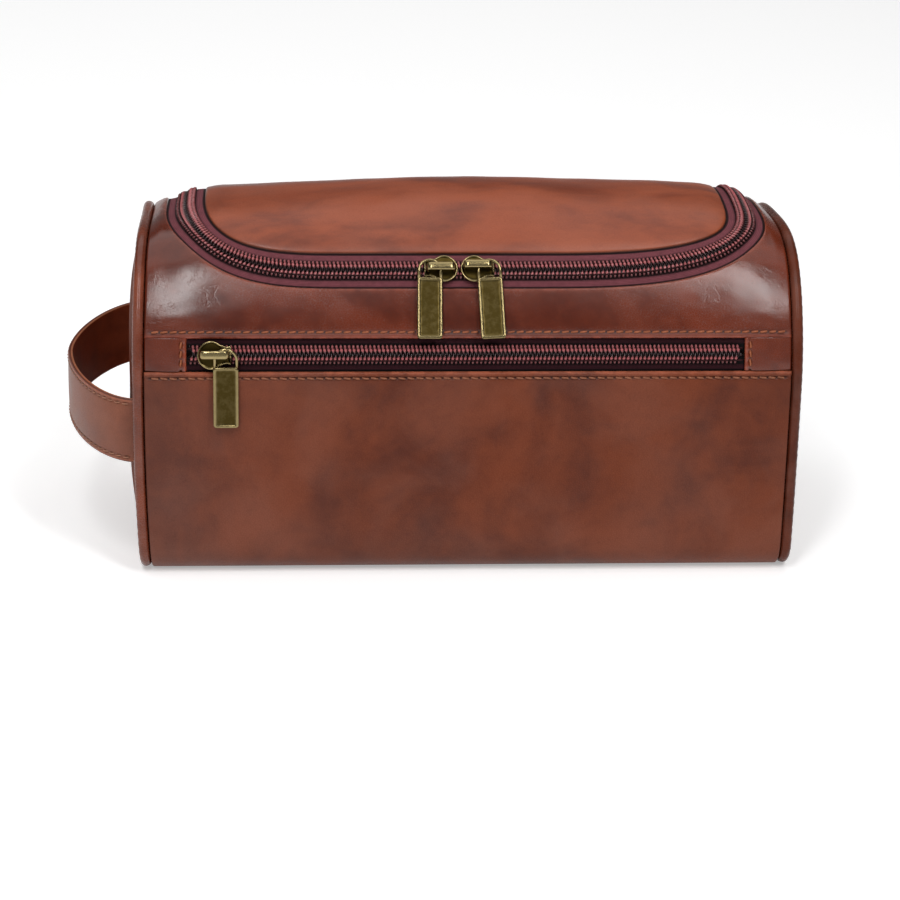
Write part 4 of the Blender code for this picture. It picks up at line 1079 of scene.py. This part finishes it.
# %% Tabs
TAB_SUNK = 0.2 * MM
TAB_HALF = POCKET_WINDOW / 2 - SEAM_GAP
TAB_SEAM = 2.1 * MM
TAB_EDGE_STEPS = np.concatenate([ROLL_STEPS, np.arange(1.15, 3.4, 0.22) * MM])
tab_rows = stepped(2 * TAB_HALF, ROLL_STEPS[::2], ROLL_STEPS[::2], 0.5 * MM) - TAB_HALF + POCKET_GIRTH
for side, name in ((-1, "left"), (1, "right")):
    tab_start = HALF - END_TAB[side]
    inward, girth = np.meshgrid(stepped(END_TAB[side], TAB_EDGE_STEPS, ROLL_STEPS, 0.9 * MM), tab_rows)
    x = side * (tab_start + inward)
    relief, hole = seam_relief(girth - POCKET_GIRTH + TAB_HALF, inward - TAB_SEAM + SEAM_IN)
    soft = 0.10 * MM * ripples(x, girth, 12 * MM, 20 + side) * np.clip(inward / (4 * MM), 0, 1)
    pillow = 1.2 * MM * np.clip(1 - (END_TAB[side] - inward) / (12 * MM), 0, 1) ** 2
    top = TAB_SUNK + 0.9 * np.maximum(rolled(inward), rolled(END_TAB[side] - inward)) + pillow - relief - soft
    # The inner edge is painted pale for wear and as a highlight; the needle holes get painted shade.
    add_piece("pocket_tab_" + name, panel(x, girth, top, LEATHER + pillow), yoke_leather,
              "bag_body", ["pocket_end_tab_" + name],
              {"edge": both_faces(edge_wear_and_sheen(inward, 1.7 * MM)), "hole": both_faces(hole)})

    def on_tab_seam(along, shift, rise):
        return skin(side * (tab_start + TAB_SEAM + shift), POCKET_GIRTH - TAB_HALF + along,
                    TAB_SUNK + THREAD_SUNK - rise)

    add_piece("tab_stitching_" + name, stitch_row(on_tab_seam, 0.4 * PITCH, 2 * TAB_HALF - 0.4 * PITCH),
              leather_thread, "bag_body")

# %% [markdown]
# ## Domed ends and piping
# Each end is a shaped panel that bulges out, sewn to the body with a leather-covered cord in the seam. A
# squashed sphere would not follow the bag's outline, so the dome is made of rings of that outline, which
# shrink towards its middle. Its rim rolls down and tucks in behind the piping, so that no light shows through
# the seam when the lid is open.

# %% End panels
CORD = 2.1 * MM                # radius of the piping
CORD_SUNK = 2.2 * MM
RIM_TUCK = 0.5 * MM            # how far an end's rim reaches in behind the piping
END_INSET = CORD_SUNK + CORD - RIM_TUCK
END_BULGE, END_SQUARENESS = 5.0 * MM, 5        # a higher power keeps the end flatter up to its rim
CORD_SIDES = 14
loop_girth = np.concatenate([
    np.linspace(on_base(FLAT), -WALL - QUARTER, 60)[:-1], np.linspace(-WALL - QUARTER, -WALL, 14)[:-1],
    np.linspace(-WALL, 0, 50)[:-1], np.linspace(0, OVER, 150)[:-1], np.linspace(OVER, OVER + WALL, 50)[:-1],
    np.linspace(OVER + WALL, OVER + WALL + QUARTER, 14)[:-1]])


def dome(share):
    """Reach of an end in x at a share of the way from its middle to its rim."""
    return HALF + SEAM_GAP + LEATHER + END_BULGE * (1 - share ** END_SQUARENESS)


def end_sheet(side, shares, sunk):
    """Rings of points over an end, from the rim inwards, sunk below its surface."""
    share, girth = np.broadcast_arrays(shares[:, None], loop_girth[None, :])
    rim = skin(side * HALF, girth, END_INSET)
    x = dome(share) - end_lean(girth, float(side)) * share ** 2 - sunk
    return np.stack([side * x, rim[..., 1] * share, SPRING + (rim[..., 2] - SPRING) * share], axis=-1)


def end_mesh(side, shares, outer, inner):
    """Closed domed sheet between two depths; the rings run from the rim inwards."""
    count = len(loop_girth)
    parts, faces = [], []
    for sunk, turned in ((outer, False), (inner, True)):
        rings = end_sheet(side, shares, sunk).reshape(-1, 3)
        start = sum(len(part) for part in parts)
        index = start + np.arange(len(rings)).reshape(-1, count)
        centre = start + len(rings)
        parts += [rings, rings[-count:].mean(axis=0)[None]]
        wrap = np.hstack([index, index[:, :1]])
        corners = (wrap[:-1, :-1], wrap[:-1, 1:], wrap[1:, 1:], wrap[1:, :-1])
        fan = [[a, b, centre] for a, b in zip(wrap[-1, :-1].tolist(), wrap[-1, 1:].tolist())]
        layer = np.stack(corners, axis=-1).reshape(-1, 4).tolist() + fan
        faces += [face[::-1] for face in layer] if turned else layer
        rim = wrap[0] if not turned else np.vstack([rim, wrap[0]])
    faces += np.stack([rim[0, 1:], rim[0, :-1], rim[1, :-1], rim[1, 1:]], axis=-1).tolist()
    if side < 0:
        faces = [face[::-1] for face in faces]
    return np.concatenate(parts), faces


END_REACH = VAULT - END_INSET
for side, name, hide in ((-1, "left", end_leather), (1, "right", shaded_end_leather)):
    from_rim = np.concatenate([ROLL_STEPS, np.arange(1.8, 56.0, 1.8) * MM])
    shares = 1 - from_rim / END_REACH
    flat = end_sheet(side, shares, 0.0)
    fade = np.clip(from_rim / (10 * MM), 0, 1)[:, None]
    soft = 0.30 * MM * ripples(flat[..., 1], flat[..., 2], 60 * MM, 30 + side) * fade
    roll = rolled(from_rim)[:, None]
    add_piece("end_leather_" + name, end_mesh(side, shares, roll - soft, LEATHER), hide, "bag_body",
              ["end_panel_" + name])

# %% Piping
for side, name, hide in ((-1, "left", piping_leather), (1, "right", shaded_piping_leather)):
    cord_x = side * (HALF + SEAM_GAP + CORD)
    line = skin(cord_x, loop_girth, CORD_SUNK)
    pucker = 1 + 0.03 * np.sin(2 * math.pi * np.arange(len(line)) / 3.0)
    add_piece("piped_cord_" + name, strand(line, CORD * pucker, (1.0, 0.0, 0.0), CORD_SIDES, loop=True),
              hide, "bag_body", ["piping_" + name])

# %% [markdown]
# ## Sliders and pulls
# The sliders are cast and plated: a shield-shaped plate with a raised rim, a second plate under the tape, and
# an arched bridge that carries the pull. The pull is a wire loop on a flat tab, whose rim stands proud of a
# sunk face. Cast parts have no sharp edges, so each is a stack of one outline drawn in and out.

# %% A smooth line through a few points
def smooth_line(points, steps=5):
    """Rounded line through a few chosen points."""
    points = np.asarray(points, float)
    padded = np.vstack([2 * points[0] - points[1], points, 2 * points[-1] - points[-2]])
    share = np.linspace(0, 1, steps, endpoint=False)[:, None]
    spans = []
    for a, b, c, d in zip(padded, padded[1:], padded[2:], padded[3:]):
        spans.append(0.5 * (2 * b + (c - a) * share + (2 * a - 5 * b + 4 * c - d) * share ** 2
                            + (3 * b - a - 3 * c + d) * share ** 3))
    return np.vstack(spans + [points[-1:]])


# %% Slider
NOSE = 5.5 * MM
SLIDER_HALF = 6.55 * MM
FLANK = np.array([(-6.45, 3.25), (-6.05, 3.62), (-5.2, 3.40), (-4.1, 3.40), (-2.6, 3.95), (-1.2, 4.75),
                  (-0.1, 5.30)]) * MM
LOWER_PLATE = (-4.4 * MM, -3.4 * MM)
UPPER_PLATE = (0.1 * MM, 1.1 * MM)
# Inset, height above the plate's underside and shine of the rings of the upper plate, from below to its field
PLATE_FACE = ((0.9, 0.0, 0.1), (0.25, 0.0, 0.4), (0.05, 0.2, 0.8), (0.0, 0.6, 0.9), (0.1, 0.95, 1.0),
              (0.3, 1.08, 1.0), (0.55, 1.05, 0.6), (0.85, 0.78, -0.4), (1.4, 0.75, -0.6))
POST_X, POST_HALF, POST_THICK = SLIDER_HALF - 3.2 * MM, 2.2 * MM, 0.35 * MM
BRIDGE_FOOT = 4.3 * MM                 # the pull hangs here
BRIDGE_TOP, BRIDGE_REACH, BRIDGE_LOW = 4.45 * MM, 5.0 * MM, 0.5 * MM
BRIDGE_THICK, BRIDGE_WIDE = 0.7 * MM, 1.6 * MM
BRIDGE_CORNER, BAR_SIDES = 1.3 * MM, 20
PLATE_LAP = 0.3 * MM                   # how far bridge and post run into the plates


def slider_outline():
    """Shield outline, nose at +a, drawn anticlockwise."""
    turn = np.linspace(math.pi / 2, 0, 14)
    nose_middle = SLIDER_HALF - NOSE
    nose = np.column_stack([nose_middle + NOSE * np.cos(turn), NOSE * np.sin(turn)])
    half = np.vstack([smooth_line(np.vstack([FLANK, nose[:1]]))[:-1], nose])
    return np.vstack([half[::-1], half[:-1] * [1, -1]])[:-1]


def bridge_mesh():
    """Arch of a flat rounded bar over the slider's plate."""
    turn = np.linspace(0, math.pi / 2, 7)
    rise = np.column_stack([-BRIDGE_REACH + BRIDGE_CORNER - BRIDGE_CORNER * np.cos(turn),
                            BRIDGE_TOP - BRIDGE_CORNER + BRIDGE_CORNER * np.sin(turn)])
    half = np.vstack([[(-BRIDGE_REACH, UPPER_PLATE[1] - PLATE_LAP)], rise,
                      [(-1.2 * MM, BRIDGE_TOP - 0.05 * MM)]])
    line = np.vstack([half, half[::-1] * [-1, 1]])
    path = np.column_stack([line[:, 0], np.full(len(line), -BRIDGE_LOW), line[:, 1]])
    ahead = unit(np.gradient(path, axis=0))
    out = np.column_stack([-ahead[:, 2], np.zeros(len(path)), ahead[:, 0]])
    turn = np.linspace(0, 2 * math.pi, BAR_SIDES, endpoint=False)
    wide = BRIDGE_WIDE * np.sign(np.cos(turn)) * np.abs(np.cos(turn)) ** 0.75
    thick = BRIDGE_THICK * np.sign(np.sin(turn)) * np.abs(np.sin(turn)) ** 0.9
    points = (path[:, None] + out[:, None] * thick[None, :, None]
              + np.array([0, 1, 0]) * wide[None, :, None])
    return points.reshape(-1, 3), tube_faces(BAR_SIDES, len(path))


def slider_mesh():
    """Slider about its middle on the skin: nose at +a, across at b, out of the leather at n."""
    outline = slider_outline()
    upper_layers = [(inset * MM, UPPER_PLATE[0] + height * MM) for inset, height, _ in PLATE_FACE]
    low, high = LOWER_PLATE
    lower_layers = [(0.4 * MM, low), (0.0, low + 0.3 * MM), (0.0, high - 0.3 * MM), (0.3 * MM, high)]
    post = np.array([(POST_X - POST_HALF, -POST_THICK), (POST_X + POST_HALF, -POST_THICK),
                     (POST_X + POST_HALF, POST_THICK), (POST_X - POST_HALF, POST_THICK)])
    post_layers = [(0.0, LOWER_PLATE[1] - PLATE_LAP), (0.0, UPPER_PLATE[0] + PLATE_LAP)]
    parts = [stack(outline, upper_layers), stack(outline, lower_layers), stack(post, post_layers),
             bridge_mesh()]
    shine = [shine for _, _, shine in PLATE_FACE]
    rim = np.concatenate([np.repeat(shine, len(outline)), np.full(len(parts[1][0]), 0.3),
                          np.zeros(len(parts[2][0])), np.ones(len(parts[3][0]))])
    return joined(parts), rim


def frame_on_skin(girth, tilt=0.0):
    """Right, up along the leather and outward at a girth of the roof."""
    angle = girth / VAULT - tilt
    right = np.array([1.0, 0.0, 0.0])
    out = np.array([0.0, -math.cos(angle), math.sin(angle)])
    return right, np.cross(out, right), out


def set_in(points, right, up, out, origin):
    return points @ np.array([right, up, out]) + origin


SLIDERS_MEET, SLIDER_SPACE = -3.9 * MM, 1.0 * MM
POCKET_SLIDER_GAP = 4.1 * MM           # end tab to the pocket slider's nose
apart = SLIDER_HALF + SLIDER_SPACE / 2
POCKET_SLIDER_X = END_TAB[-1] + POCKET_SLIDER_GAP + SLIDER_HALF - HALF
SLIDERS = (("main_slider_left", "slider_left", SLIDERS_MEET - apart, MAIN_GIRTH, 1),
           ("main_slider_right", "slider_right", SLIDERS_MEET + apart, MAIN_GIRTH, -1),
           ("pocket_slider", "slider_pocket", POCKET_SLIDER_X, POCKET_GIRTH, -1))
(slider_points, slider_faces), slider_rim = slider_mesh()
for solid, body, x, girth, facing in SLIDERS:
    right, up, out = frame_on_skin(girth)
    points = set_in(slider_points, right * facing, up * facing, out, skin(x, girth, 0.0))
    add_piece(solid.replace("slider", "cast_slider"), (points, slider_faces), antique_brass, body, [solid],
              {"rim": slider_rim})

# %% Pull
PULL_HALF, PULL_LENGTH, PULL_NECK = 4.8 * MM, 24.0 * MM, 4.5 * MM
PULL_LIFT, PULL_TILT = 3.0 * MM, math.radians(10.0)
LOOP_HALF, LOOP_TOP, LOOP_WIRE = 4.15 * MM, 2.4 * MM, 0.60 * MM
LOOP_ROUND, LOOP_LAP = 0.95, 0.8 * MM       # its arch against a half circle; how far it runs into the tab


def rounded_box(half, low, high, radius, steps=5):
    """Rounded rectangle drawn anticlockwise."""
    turn = np.linspace(0, math.pi / 2, steps)
    corners = ((half, low, -math.pi / 2), (half, high, 0.0), (-half, high, math.pi / 2),
               (-half, low, math.pi))
    points = []
    for a, b, start in corners:
        centre = (a - math.copysign(radius, a), b - radius if b == high else b + radius)
        points.append(np.column_stack([centre[0] + radius * np.cos(turn + start),
                                       centre[1] + radius * np.sin(turn + start)]))
    return np.vstack(points)


# Inset, height and shine of the rings of a tab's cast face, from its sunk field to its side
TAB_FACE = ((1.9, 0.40, -0.06), (1.35, 0.42, 0.0), (1.15, 0.48, 0.25), (0.95, 0.70, 0.5), (0.75, 0.75, 0.65),
            (0.30, 0.74, 0.65), (0.08, 0.60, 0.65), (0.0, 0.40, 0.5))


def pull_mesh():
    """Pull about its pivot: b up along the tab, n out of its face."""
    rings, shines = [], []
    layers = [(inset, -height, shine) for inset, height, shine in TAB_FACE] + list(TAB_FACE[::-1])
    for inset, height, shine in layers:
        corner = max(1.2 - 0.55 * inset, 0.25) * MM
        ring = rounded_box(PULL_HALF - inset * MM, inset * MM - PULL_NECK - PULL_LENGTH,
                           -PULL_NECK - inset * MM, corner)
        rings.append(np.column_stack([ring, np.full(len(ring), height * MM)]))
        shines += [shine] * len(ring)
    tab = np.concatenate(rings), tube_faces(len(ring), len(layers), turned=True)
    turn = np.linspace(math.pi, 0, 17)
    rise = LOOP_HALF * LOOP_ROUND
    top = np.column_stack([LOOP_HALF * np.cos(turn), LOOP_TOP - rise + rise * np.sin(turn)])
    foot = -PULL_NECK - LOOP_LAP
    line = np.vstack([[(-LOOP_HALF, foot)], top, [(LOOP_HALF, foot)]])
    path = np.column_stack([line, np.zeros(len(line))])
    loop = strand(path, LOOP_WIRE, (0.0, 0.0, 1.0), 12, flat=0.92)
    return joined([tab, loop]), np.concatenate([shines, np.full(len(loop[0]), 0.9)])


(pull_points, pull_faces), pull_rim = pull_mesh()
PULL_SWAY = {"slider_left": -0.7, "slider_right": 2.6, "slider_pocket": 0.0}      # degrees
for solid, body, x, girth, facing in SLIDERS:
    flat_right, _, flat_out = frame_on_skin(girth)
    pivot = skin(x, girth, 0.0) - flat_right * facing * BRIDGE_FOOT + flat_out * PULL_LIFT
    sway = math.radians(PULL_SWAY[body])
    swung = pull_points @ np.array([[math.cos(sway), math.sin(sway), 0], [-math.sin(sway), math.cos(sway), 0],
                                    [0, 0, 1]])
    points = set_in(swung, *frame_on_skin(girth, PULL_TILT), pivot)
    add_piece(solid.replace("slider", "cast_pull"), (points, pull_faces), antique_brass,
              body.replace("slider", "pull"), [solid.replace("slider", "pull")],
              {"rim": pull_rim})

# %% [markdown]
# ## The carry strap
# The strap is two layers of leather sewn back to back, with painted edges, bowed out from the left end. The
# imported model cuts it in a sewn part and a swinging part. Real leather bends there, so the strap is made in
# one piece.

# %% Strap
STRAP_HALF_WIDTH = 12.75 * MM
STRAP_HEIGHT, STRAP_SPAN = 58.5 * MM, 118.8 * MM
STRAP_REACH, STRAP_POINT = 28.6 * MM, 1.15
STRAP_OUT, STRAP_IN = 0.90 * MM, 0.05 * MM
STRAP_ROOT = 127.435 * MM
STRAP_SEAM, STRAP_RELIEF, STRAP_THREAD = 1.8 * MM, 0.6, 0.26 * MM
STRAP_ROLL, STRAP_ROLL_STEPS = 0.55 * MM, 0.55 * ROLL_STEPS


def bow(angle):
    """Middle line of the strap from its front end round to its back end, seen from above."""
    across = np.cos(angle)
    y = -np.sign(across) * np.abs(across) ** STRAP_POINT * STRAP_SPAN / 2
    return np.column_stack([-STRAP_ROOT - STRAP_REACH * np.maximum(np.sin(angle), 0.0) ** STRAP_POINT, y])


def strap_line(step):
    """Even places along the strap, with the direction out of it."""
    dense = bow(np.linspace(0, math.pi, 2001))
    length = run_length(dense)
    even = np.linspace(0, length[-1], int(round(length[-1] / step)) + 1)
    line = read_off(even, length, dense)
    ahead = unit(np.gradient(line, axis=0))
    return even, line, np.column_stack([-ahead[:, 1], ahead[:, 0]])


strap_even, strap_middle, strap_out = strap_line(PITCH / 5)
print("strap: %.0f mm round" % (strap_even[-1] / MM))


def strap_place(along, offset, height):
    """Points at a distance along the strap, out of its middle and up from its centre line."""
    out = unit(read_off(along, strap_even, strap_out))
    flat = read_off(along, strap_even, strap_middle) + out * np.asarray(offset)[..., None]
    rise = np.broadcast_to(STRAP_HEIGHT + np.asarray(height), flat.shape[:-1])
    return np.concatenate([flat, rise[..., None]], axis=-1)


def add_strap_piece(name, mesh, finish, stands_for, marks=None):
    piece = add_piece(name, mesh, finish, None, stands_for, marks)
    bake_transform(piece)


edge_steps = np.concatenate([STRAP_ROLL_STEPS, np.arange(1.0, 4.5, 0.3) * MM])
rows = stepped(2 * STRAP_HALF_WIDTH, edge_steps, edge_steps, 1.2 * MM)
height, along = np.meshgrid(rows - STRAP_HALF_WIDTH, strap_even)
inward = STRAP_HALF_WIDTH - np.abs(height)
relief, hole = seam_relief(along, inward - STRAP_SEAM + SEAM_IN)
crown = 0.25 * MM * (1 - (height / STRAP_HALF_WIDTH) ** 2)
roll = rolled(inward, STRAP_ROLL)
outer_face = strap_place(along, STRAP_OUT - roll + STRAP_RELIEF * relief + crown, height)
inner_face = strap_place(along, np.full_like(along, STRAP_IN), height)
# The edges are painted pale for wear and as a highlight; the needle holes get painted shade.
add_strap_piece("strap_face", shell(outer_face, inner_face), strap_leather,
                ["strap_loop_outer", "strap_end_front", "strap_end_back"],
                {"edge": both_faces(edge_wear_and_sheen(inward)), "hole": both_faces(hole)})
inner_face = strap_place(along, -STRAP_OUT + roll, height)
middle_face = strap_place(along, np.full_like(along, -STRAP_IN), height)
add_strap_piece("strap_backing", shell(inner_face, middle_face), strap_back_leather, ["strap_loop_inner"])

# %% Painted edges and sewing of the strap
bright_edges, dark_edges, threads = [], [], []
for edge in (-1, 1):
    for beads, offset in ((dark_edges, STRAP_OUT / 2), (bright_edges, -STRAP_OUT / 2)):
        path = strap_place(strap_even, offset + 0 * strap_even, edge * (STRAP_HALF_WIDTH - 0.15 * MM))
        beads.append(strand(path, STRAP_OUT * 0.49, (0.0, 0.0, 1.0), 10, flat=0.7))

    def on_strap_seam(along, shift, rise):
        return strap_place(along, STRAP_OUT + 0.05 * MM + rise,
                           edge * (STRAP_HALF_WIDTH - STRAP_SEAM) + shift)

    threads.append(stitch_row(on_strap_seam, 2 * MM, strap_even[-1] - 3 * MM, STRAP_THREAD))
add_strap_piece("strap_inner_edges", joined(bright_edges), edge_paint, ())
add_strap_piece("strap_outer_edges", joined(dark_edges), dark_edge_paint, ())
add_strap_piece("strap_stitching", joined(threads), strap_thread, ())

# %% [markdown]
# ## Inside the bag
# A dark cloth lines the bag, with thin foam between it and the leather. The lining is stretched smooth over
# the same form, so it is a thin shell on the skin's own places; the foam pads are thicker shells beneath it.
# A strip of the same cloth lies across the hinge, where the lid turns.

# %% Lining and padding
TURN_IN = 9.5 * MM                    # lining edge to the middle of the zip
FOAM_BACK = 11.1 * MM                 # foam edge to the middle of the zip
STRIP_HALF, STRIP_SUNK = 8.0 * MM, 2.3 * MM
CLOTH, FOAM, FRONT_FOAM = 0.6 * MM, 3.0 * MM, 1.5 * MM      # thicknesses
SOFT_EDGE = 0.4 * MM


def yarn_marks(x, girth):
    """Distances for the weave on the points of a shell."""
    return {"along": np.tile(x.ravel(), 2), "across": np.tile(girth.ravel(), 2)}


def cloth_band(name, solid, start, end, half_length, depth, thick=CLOTH, finish=lining_cloth):
    """Cloth or foam wrapped along the bag between two girths."""
    edge_steps = [0.0, SOFT_EDGE]
    rows = stepped(end - start, edge_steps, edge_steps, 3.0 * MM) + start
    x, girth = np.meshgrid(stepped(2 * half_length, edge_steps, edge_steps, 6.0 * MM) - half_length, rows)
    edge = np.minimum(half_length - np.abs(x), np.minimum(girth - start, end - girth))
    soft = np.clip(1 - edge / SOFT_EDGE, 0, 1) * thick * 0.3
    piece = add_piece(name, panel(x, girth, depth + soft, depth + thick - soft), finish, "bag_body", [solid],
                      yarn_marks(x, girth))


inner_half = HALF - SEAM_GAP
pad_half = HALF - SEAM_MARGIN
FRONT_LINING, LINING_DEPTH, POCKET_DEPTH = 7.5 * MM, 5.9 * MM, 4.8 * MM
FRONT_FOAM_DEPTH, FOAM_DEPTH, END_LINING = 5.7 * MM, 2.3 * MM, 5.6 * MM
cloth_band("front_cloth", "lining_front", -WALL - QUARTER, MAIN_GIRTH - TURN_IN, inner_half, FRONT_LINING)
cloth_band("back_cloth", "lining_back", HINGE_GIRTH + SEAM_MARGIN, OVER + WALL + QUARTER, inner_half,
           LINING_DEPTH)
cloth_band("base_cloth", "lining_base", on_base(FLAT - SEAM_GAP), on_base(SEAM_GAP - FLAT), inner_half,
           LINING_DEPTH)
cloth_band("pocket_cloth", "pocket_lining", -WALL, POCKET_GIRTH + TAPE_REACH, pad_half, POCKET_DEPTH)
cloth_band("front_foam", "front_padding", -WALL + SEAM_MARGIN, MAIN_GIRTH - FOAM_BACK, pad_half,
           FRONT_FOAM_DEPTH, FRONT_FOAM, foam)
cloth_band("back_foam", "back_padding", HINGE_GIRTH + STRIP_HALF + SEAM_GAP, OVER + WALL, pad_half,
           FOAM_DEPTH, FOAM, foam)

# %% Lid's lining and padding
for name, solid, inset, end, depth, thick, finish in (
        ("lid_cloth", "lid_lining", TURN_IN, HINGE_GIRTH - SEAM_MARGIN, LINING_DEPTH, CLOTH, lining_cloth),
        ("lid_foam", "lid_padding", FOAM_BACK, HINGE_GIRTH - STRIP_HALF - 2 * SEAM_GAP, FOAM_DEPTH, FOAM,
         foam)):
    x, girth = lid_places(inset, end, 3.0 * MM, np.array([0.0, 0.4, 1.2]) * MM)
    piece = add_piece(name, panel(x, girth, depth, depth + thick), finish, "lid", [solid],
                      yarn_marks(x, girth))

# %% Hinge strip
STRIP_SHORT = 1.0 * MM                # end of the strip to the middle of the zip
BEND_HALF = 3 * MM                    # this far to each side of the hinge
strip_half_length = ZIP_SIDE - STRIP_SHORT
rows = np.linspace(HINGE_GIRTH - STRIP_HALF, HINGE_GIRTH + STRIP_HALF, 25)
x, girth = np.meshgrid(np.linspace(-strip_half_length, strip_half_length, 40), rows)
strip = add_piece("hinge_cloth", panel(x, girth, STRIP_SUNK, STRIP_SUNK + TAPE_THICK), lining_cloth, None,
                  ["hinge_strip"], yarn_marks(x, girth))
hinge_start = skin(0.0, HINGE_GIRTH + BEND_HALF, STRIP_SUNK)
hinge_end = skin(0.0, HINGE_GIRTH - BEND_HALF, STRIP_SUNK)
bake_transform(strip)

# %% Lining and padding of the ends, and the base board
END_LINING_INSET = 8.4 * MM           # skin of the roof to the rim of an end's lining
CORE_SHARE = (VAULT - END_LINING_INSET) / END_REACH
for side, place in ((-1, "left"), (1, "right")):
    shares = np.linspace(CORE_SHARE, 0.08, 12)
    for name, solid, depth, thick, finish in (
            ("end_foam_", "end_padding_", FOAM_DEPTH, FOAM, foam),
            ("end_cloth_", "lining_end_", END_LINING, CLOTH, lining_cloth)):
        points, faces = end_mesh(side, shares, depth, depth + thick)
        piece = add_piece(name + place, (points, faces), finish, "bag_body", [solid + place],
                          {"along": points[:, 1], "across": points[:, 2]})
        if finish is lining_cloth:
            rim = end_sheet(side, shares[:1], 0.0)[0]
board = bpy.data.objects["base_board"]
board.data.materials.clear()
board.data.materials.append(fibreboard)
print("lined")

# %% [markdown]
# ## Camera, light and floor
# The camera stands where the photograph was taken: about a metre in front, looking down a little under twenty
# degrees through a long lens. One very wide soft light hangs over the bag, as in a photographer's light tent;
# two tall bright strips beside the camera give the sheen on both shoulders of the yoke. The room is dark at
# the height of the eye, so that the yoke keeps its deep colour, and the pale floor lights the front wall from
# below. The floor glows a little for the camera and for reflections, which makes it white in the picture
# without more light on the bag.

# %% Camera
PHOTO_SIDE = 900
FOCUS = 2845.0                        # focal length in pixels of the photograph
PHOTO_CENTRE = (459.48, 349.83)       # where the lens axis meets the photograph
AIM = Vector((0.0, 0.0, 0.070))
ELEVATION, YAW, LEAN = math.radians(19.5), math.radians(3.73), math.radians(1.15)
DISTANCE = 1.150
SENSOR = 36.0
level = math.cos(ELEVATION)
forward = Vector((math.sin(YAW) * level, math.cos(YAW) * level, -math.sin(ELEVATION)))
right = forward.cross(Vector((0, 0, 1))).normalized()
up = right.cross(forward)
leaned_right = right * math.cos(LEAN) + up * math.sin(LEAN)
leaned_up = up * math.cos(LEAN) - right * math.sin(LEAN)
stand = Matrix((leaned_right, leaned_up, -forward)).transposed().to_4x4()
stand.translation = AIM - forward * DISTANCE
camera = bpy.data.objects.new("camera", bpy.data.cameras.new("camera"))
bpy.context.scene.collection.objects.link(camera)
camera.matrix_world = stand
camera.data.sensor_width = SENSOR
camera.data.lens = FOCUS / PHOTO_SIDE * SENSOR
camera.data.shift_x = 0.5 - PHOTO_CENTRE[0] / PHOTO_SIDE
camera.data.shift_y = PHOTO_CENTRE[1] / PHOTO_SIDE - 0.5
camera.data.clip_start = 0.01
bpy.context.scene.camera = camera
print("lens %.1f mm" % camera.data.lens)


# %% Lights
def soft_panel(name, place, aim, width, height, power):
    lamp = bpy.data.lights.new(name, 'AREA')
    lamp.shape = 'RECTANGLE'
    lamp.size, lamp.size_y = width, height
    lamp.energy = power
    held = bpy.data.objects.new(name, lamp)
    bpy.context.scene.collection.objects.link(held)
    held.location = place
    held.rotation_euler = (Vector(aim) - Vector(place)).to_track_quat('-Z', 'Y').to_euler()


STRIP_LIGHT = (0.20, 0.80, 6.2)       # width, height and power
soft_panel("overhead_panel", (-0.30, 0.75, 1.70), (-0.30, 0.75, 0.0), 2.6, 2.2, 18.5)
soft_panel("left_strip", (-0.302, -0.833, 1.134), (-0.115, -0.055, 0.11), *STRIP_LIGHT)
soft_panel("right_strip", (0.444, -0.786, 1.134), (0.118, -0.055, 0.11), *STRIP_LIGHT)
print("lamps:", len(bpy.data.lights))

# %% The room's own light
ROOM = ((0.0, 0.50), (0.34, 0.35), (0.50, 0.06), (0.80, 0.10), (1.0, 0.30))      # grey from below to above
world = bpy.data.worlds.new("studio")
bpy.context.scene.world = world
world.use_nodes = True
tree = world.node_tree
direction = node(tree, 'ShaderNodeTexCoord').outputs["Generated"]
ways = node(tree, 'ShaderNodeSeparateXYZ', {0: direction}).outputs
ramp = node(tree, 'ShaderNodeValToRGB', {0: ways[2]})
for place, _ in ROOM[1:-1]:
    ramp.color_ramp.elements.new(place)
for element, (place, grey) in zip(ramp.color_ramp.elements, ROOM):
    element.position = place
    element.color = (grey, grey, grey, 1)
room_light = tree.nodes["Background"].inputs
tree.links.new(ramp.outputs[0], room_light["Color"])
to_right = maths(tree, 'MULTIPLY_ADD', ways[0], -0.45, 1.0)
to_back = remap(tree, ways[1], -0.2, 0.4, 1.0, 0.35)
tree.links.new(maths(tree, 'MULTIPLY', to_right, to_back), room_light["Strength"])

# %% Floor
FLOOR_HALF = 6.0
PAPER, PAPER_GLOW = (0.93, 0.93, 0.93, 1), (0.36, 0.36, 0.36, 1)
mesh = bpy.data.meshes.new("floor")
mesh.from_pydata([(-FLOOR_HALF, -FLOOR_HALF, 0), (FLOOR_HALF, -FLOOR_HALF, 0), (FLOOR_HALF, FLOOR_HALF, 0),
                  (-FLOOR_HALF, FLOOR_HALF, 0)], [], [(0, 1, 2, 3)])
floor = bpy.data.objects.new("floor", mesh)
bpy.context.scene.collection.objects.link(floor)
paper, tree, shader = new_finish("floor_paper")
shader.inputs["Base Color"].default_value = PAPER
shader.inputs["Roughness"].default_value = 0.9
rays = node(tree, 'ShaderNodeLightPath').outputs
seen = maths(tree, 'MAXIMUM', rays["Is Camera Ray"], maths(tree, 'MAXIMUM', rays["Is Glossy Ray"],
                                                            rays["Is Transmission Ray"]))
lifted = blend_colours(tree, seen, (0, 0, 0, 1), PAPER_GLOW)
tree.links.new(lifted, shader.inputs["Emission Color"])
shader.inputs["Emission Strength"].default_value = 1.0
mesh.materials.append(paper)

# %% Colour view
bpy.context.scene.view_settings.view_transform = 'Standard'
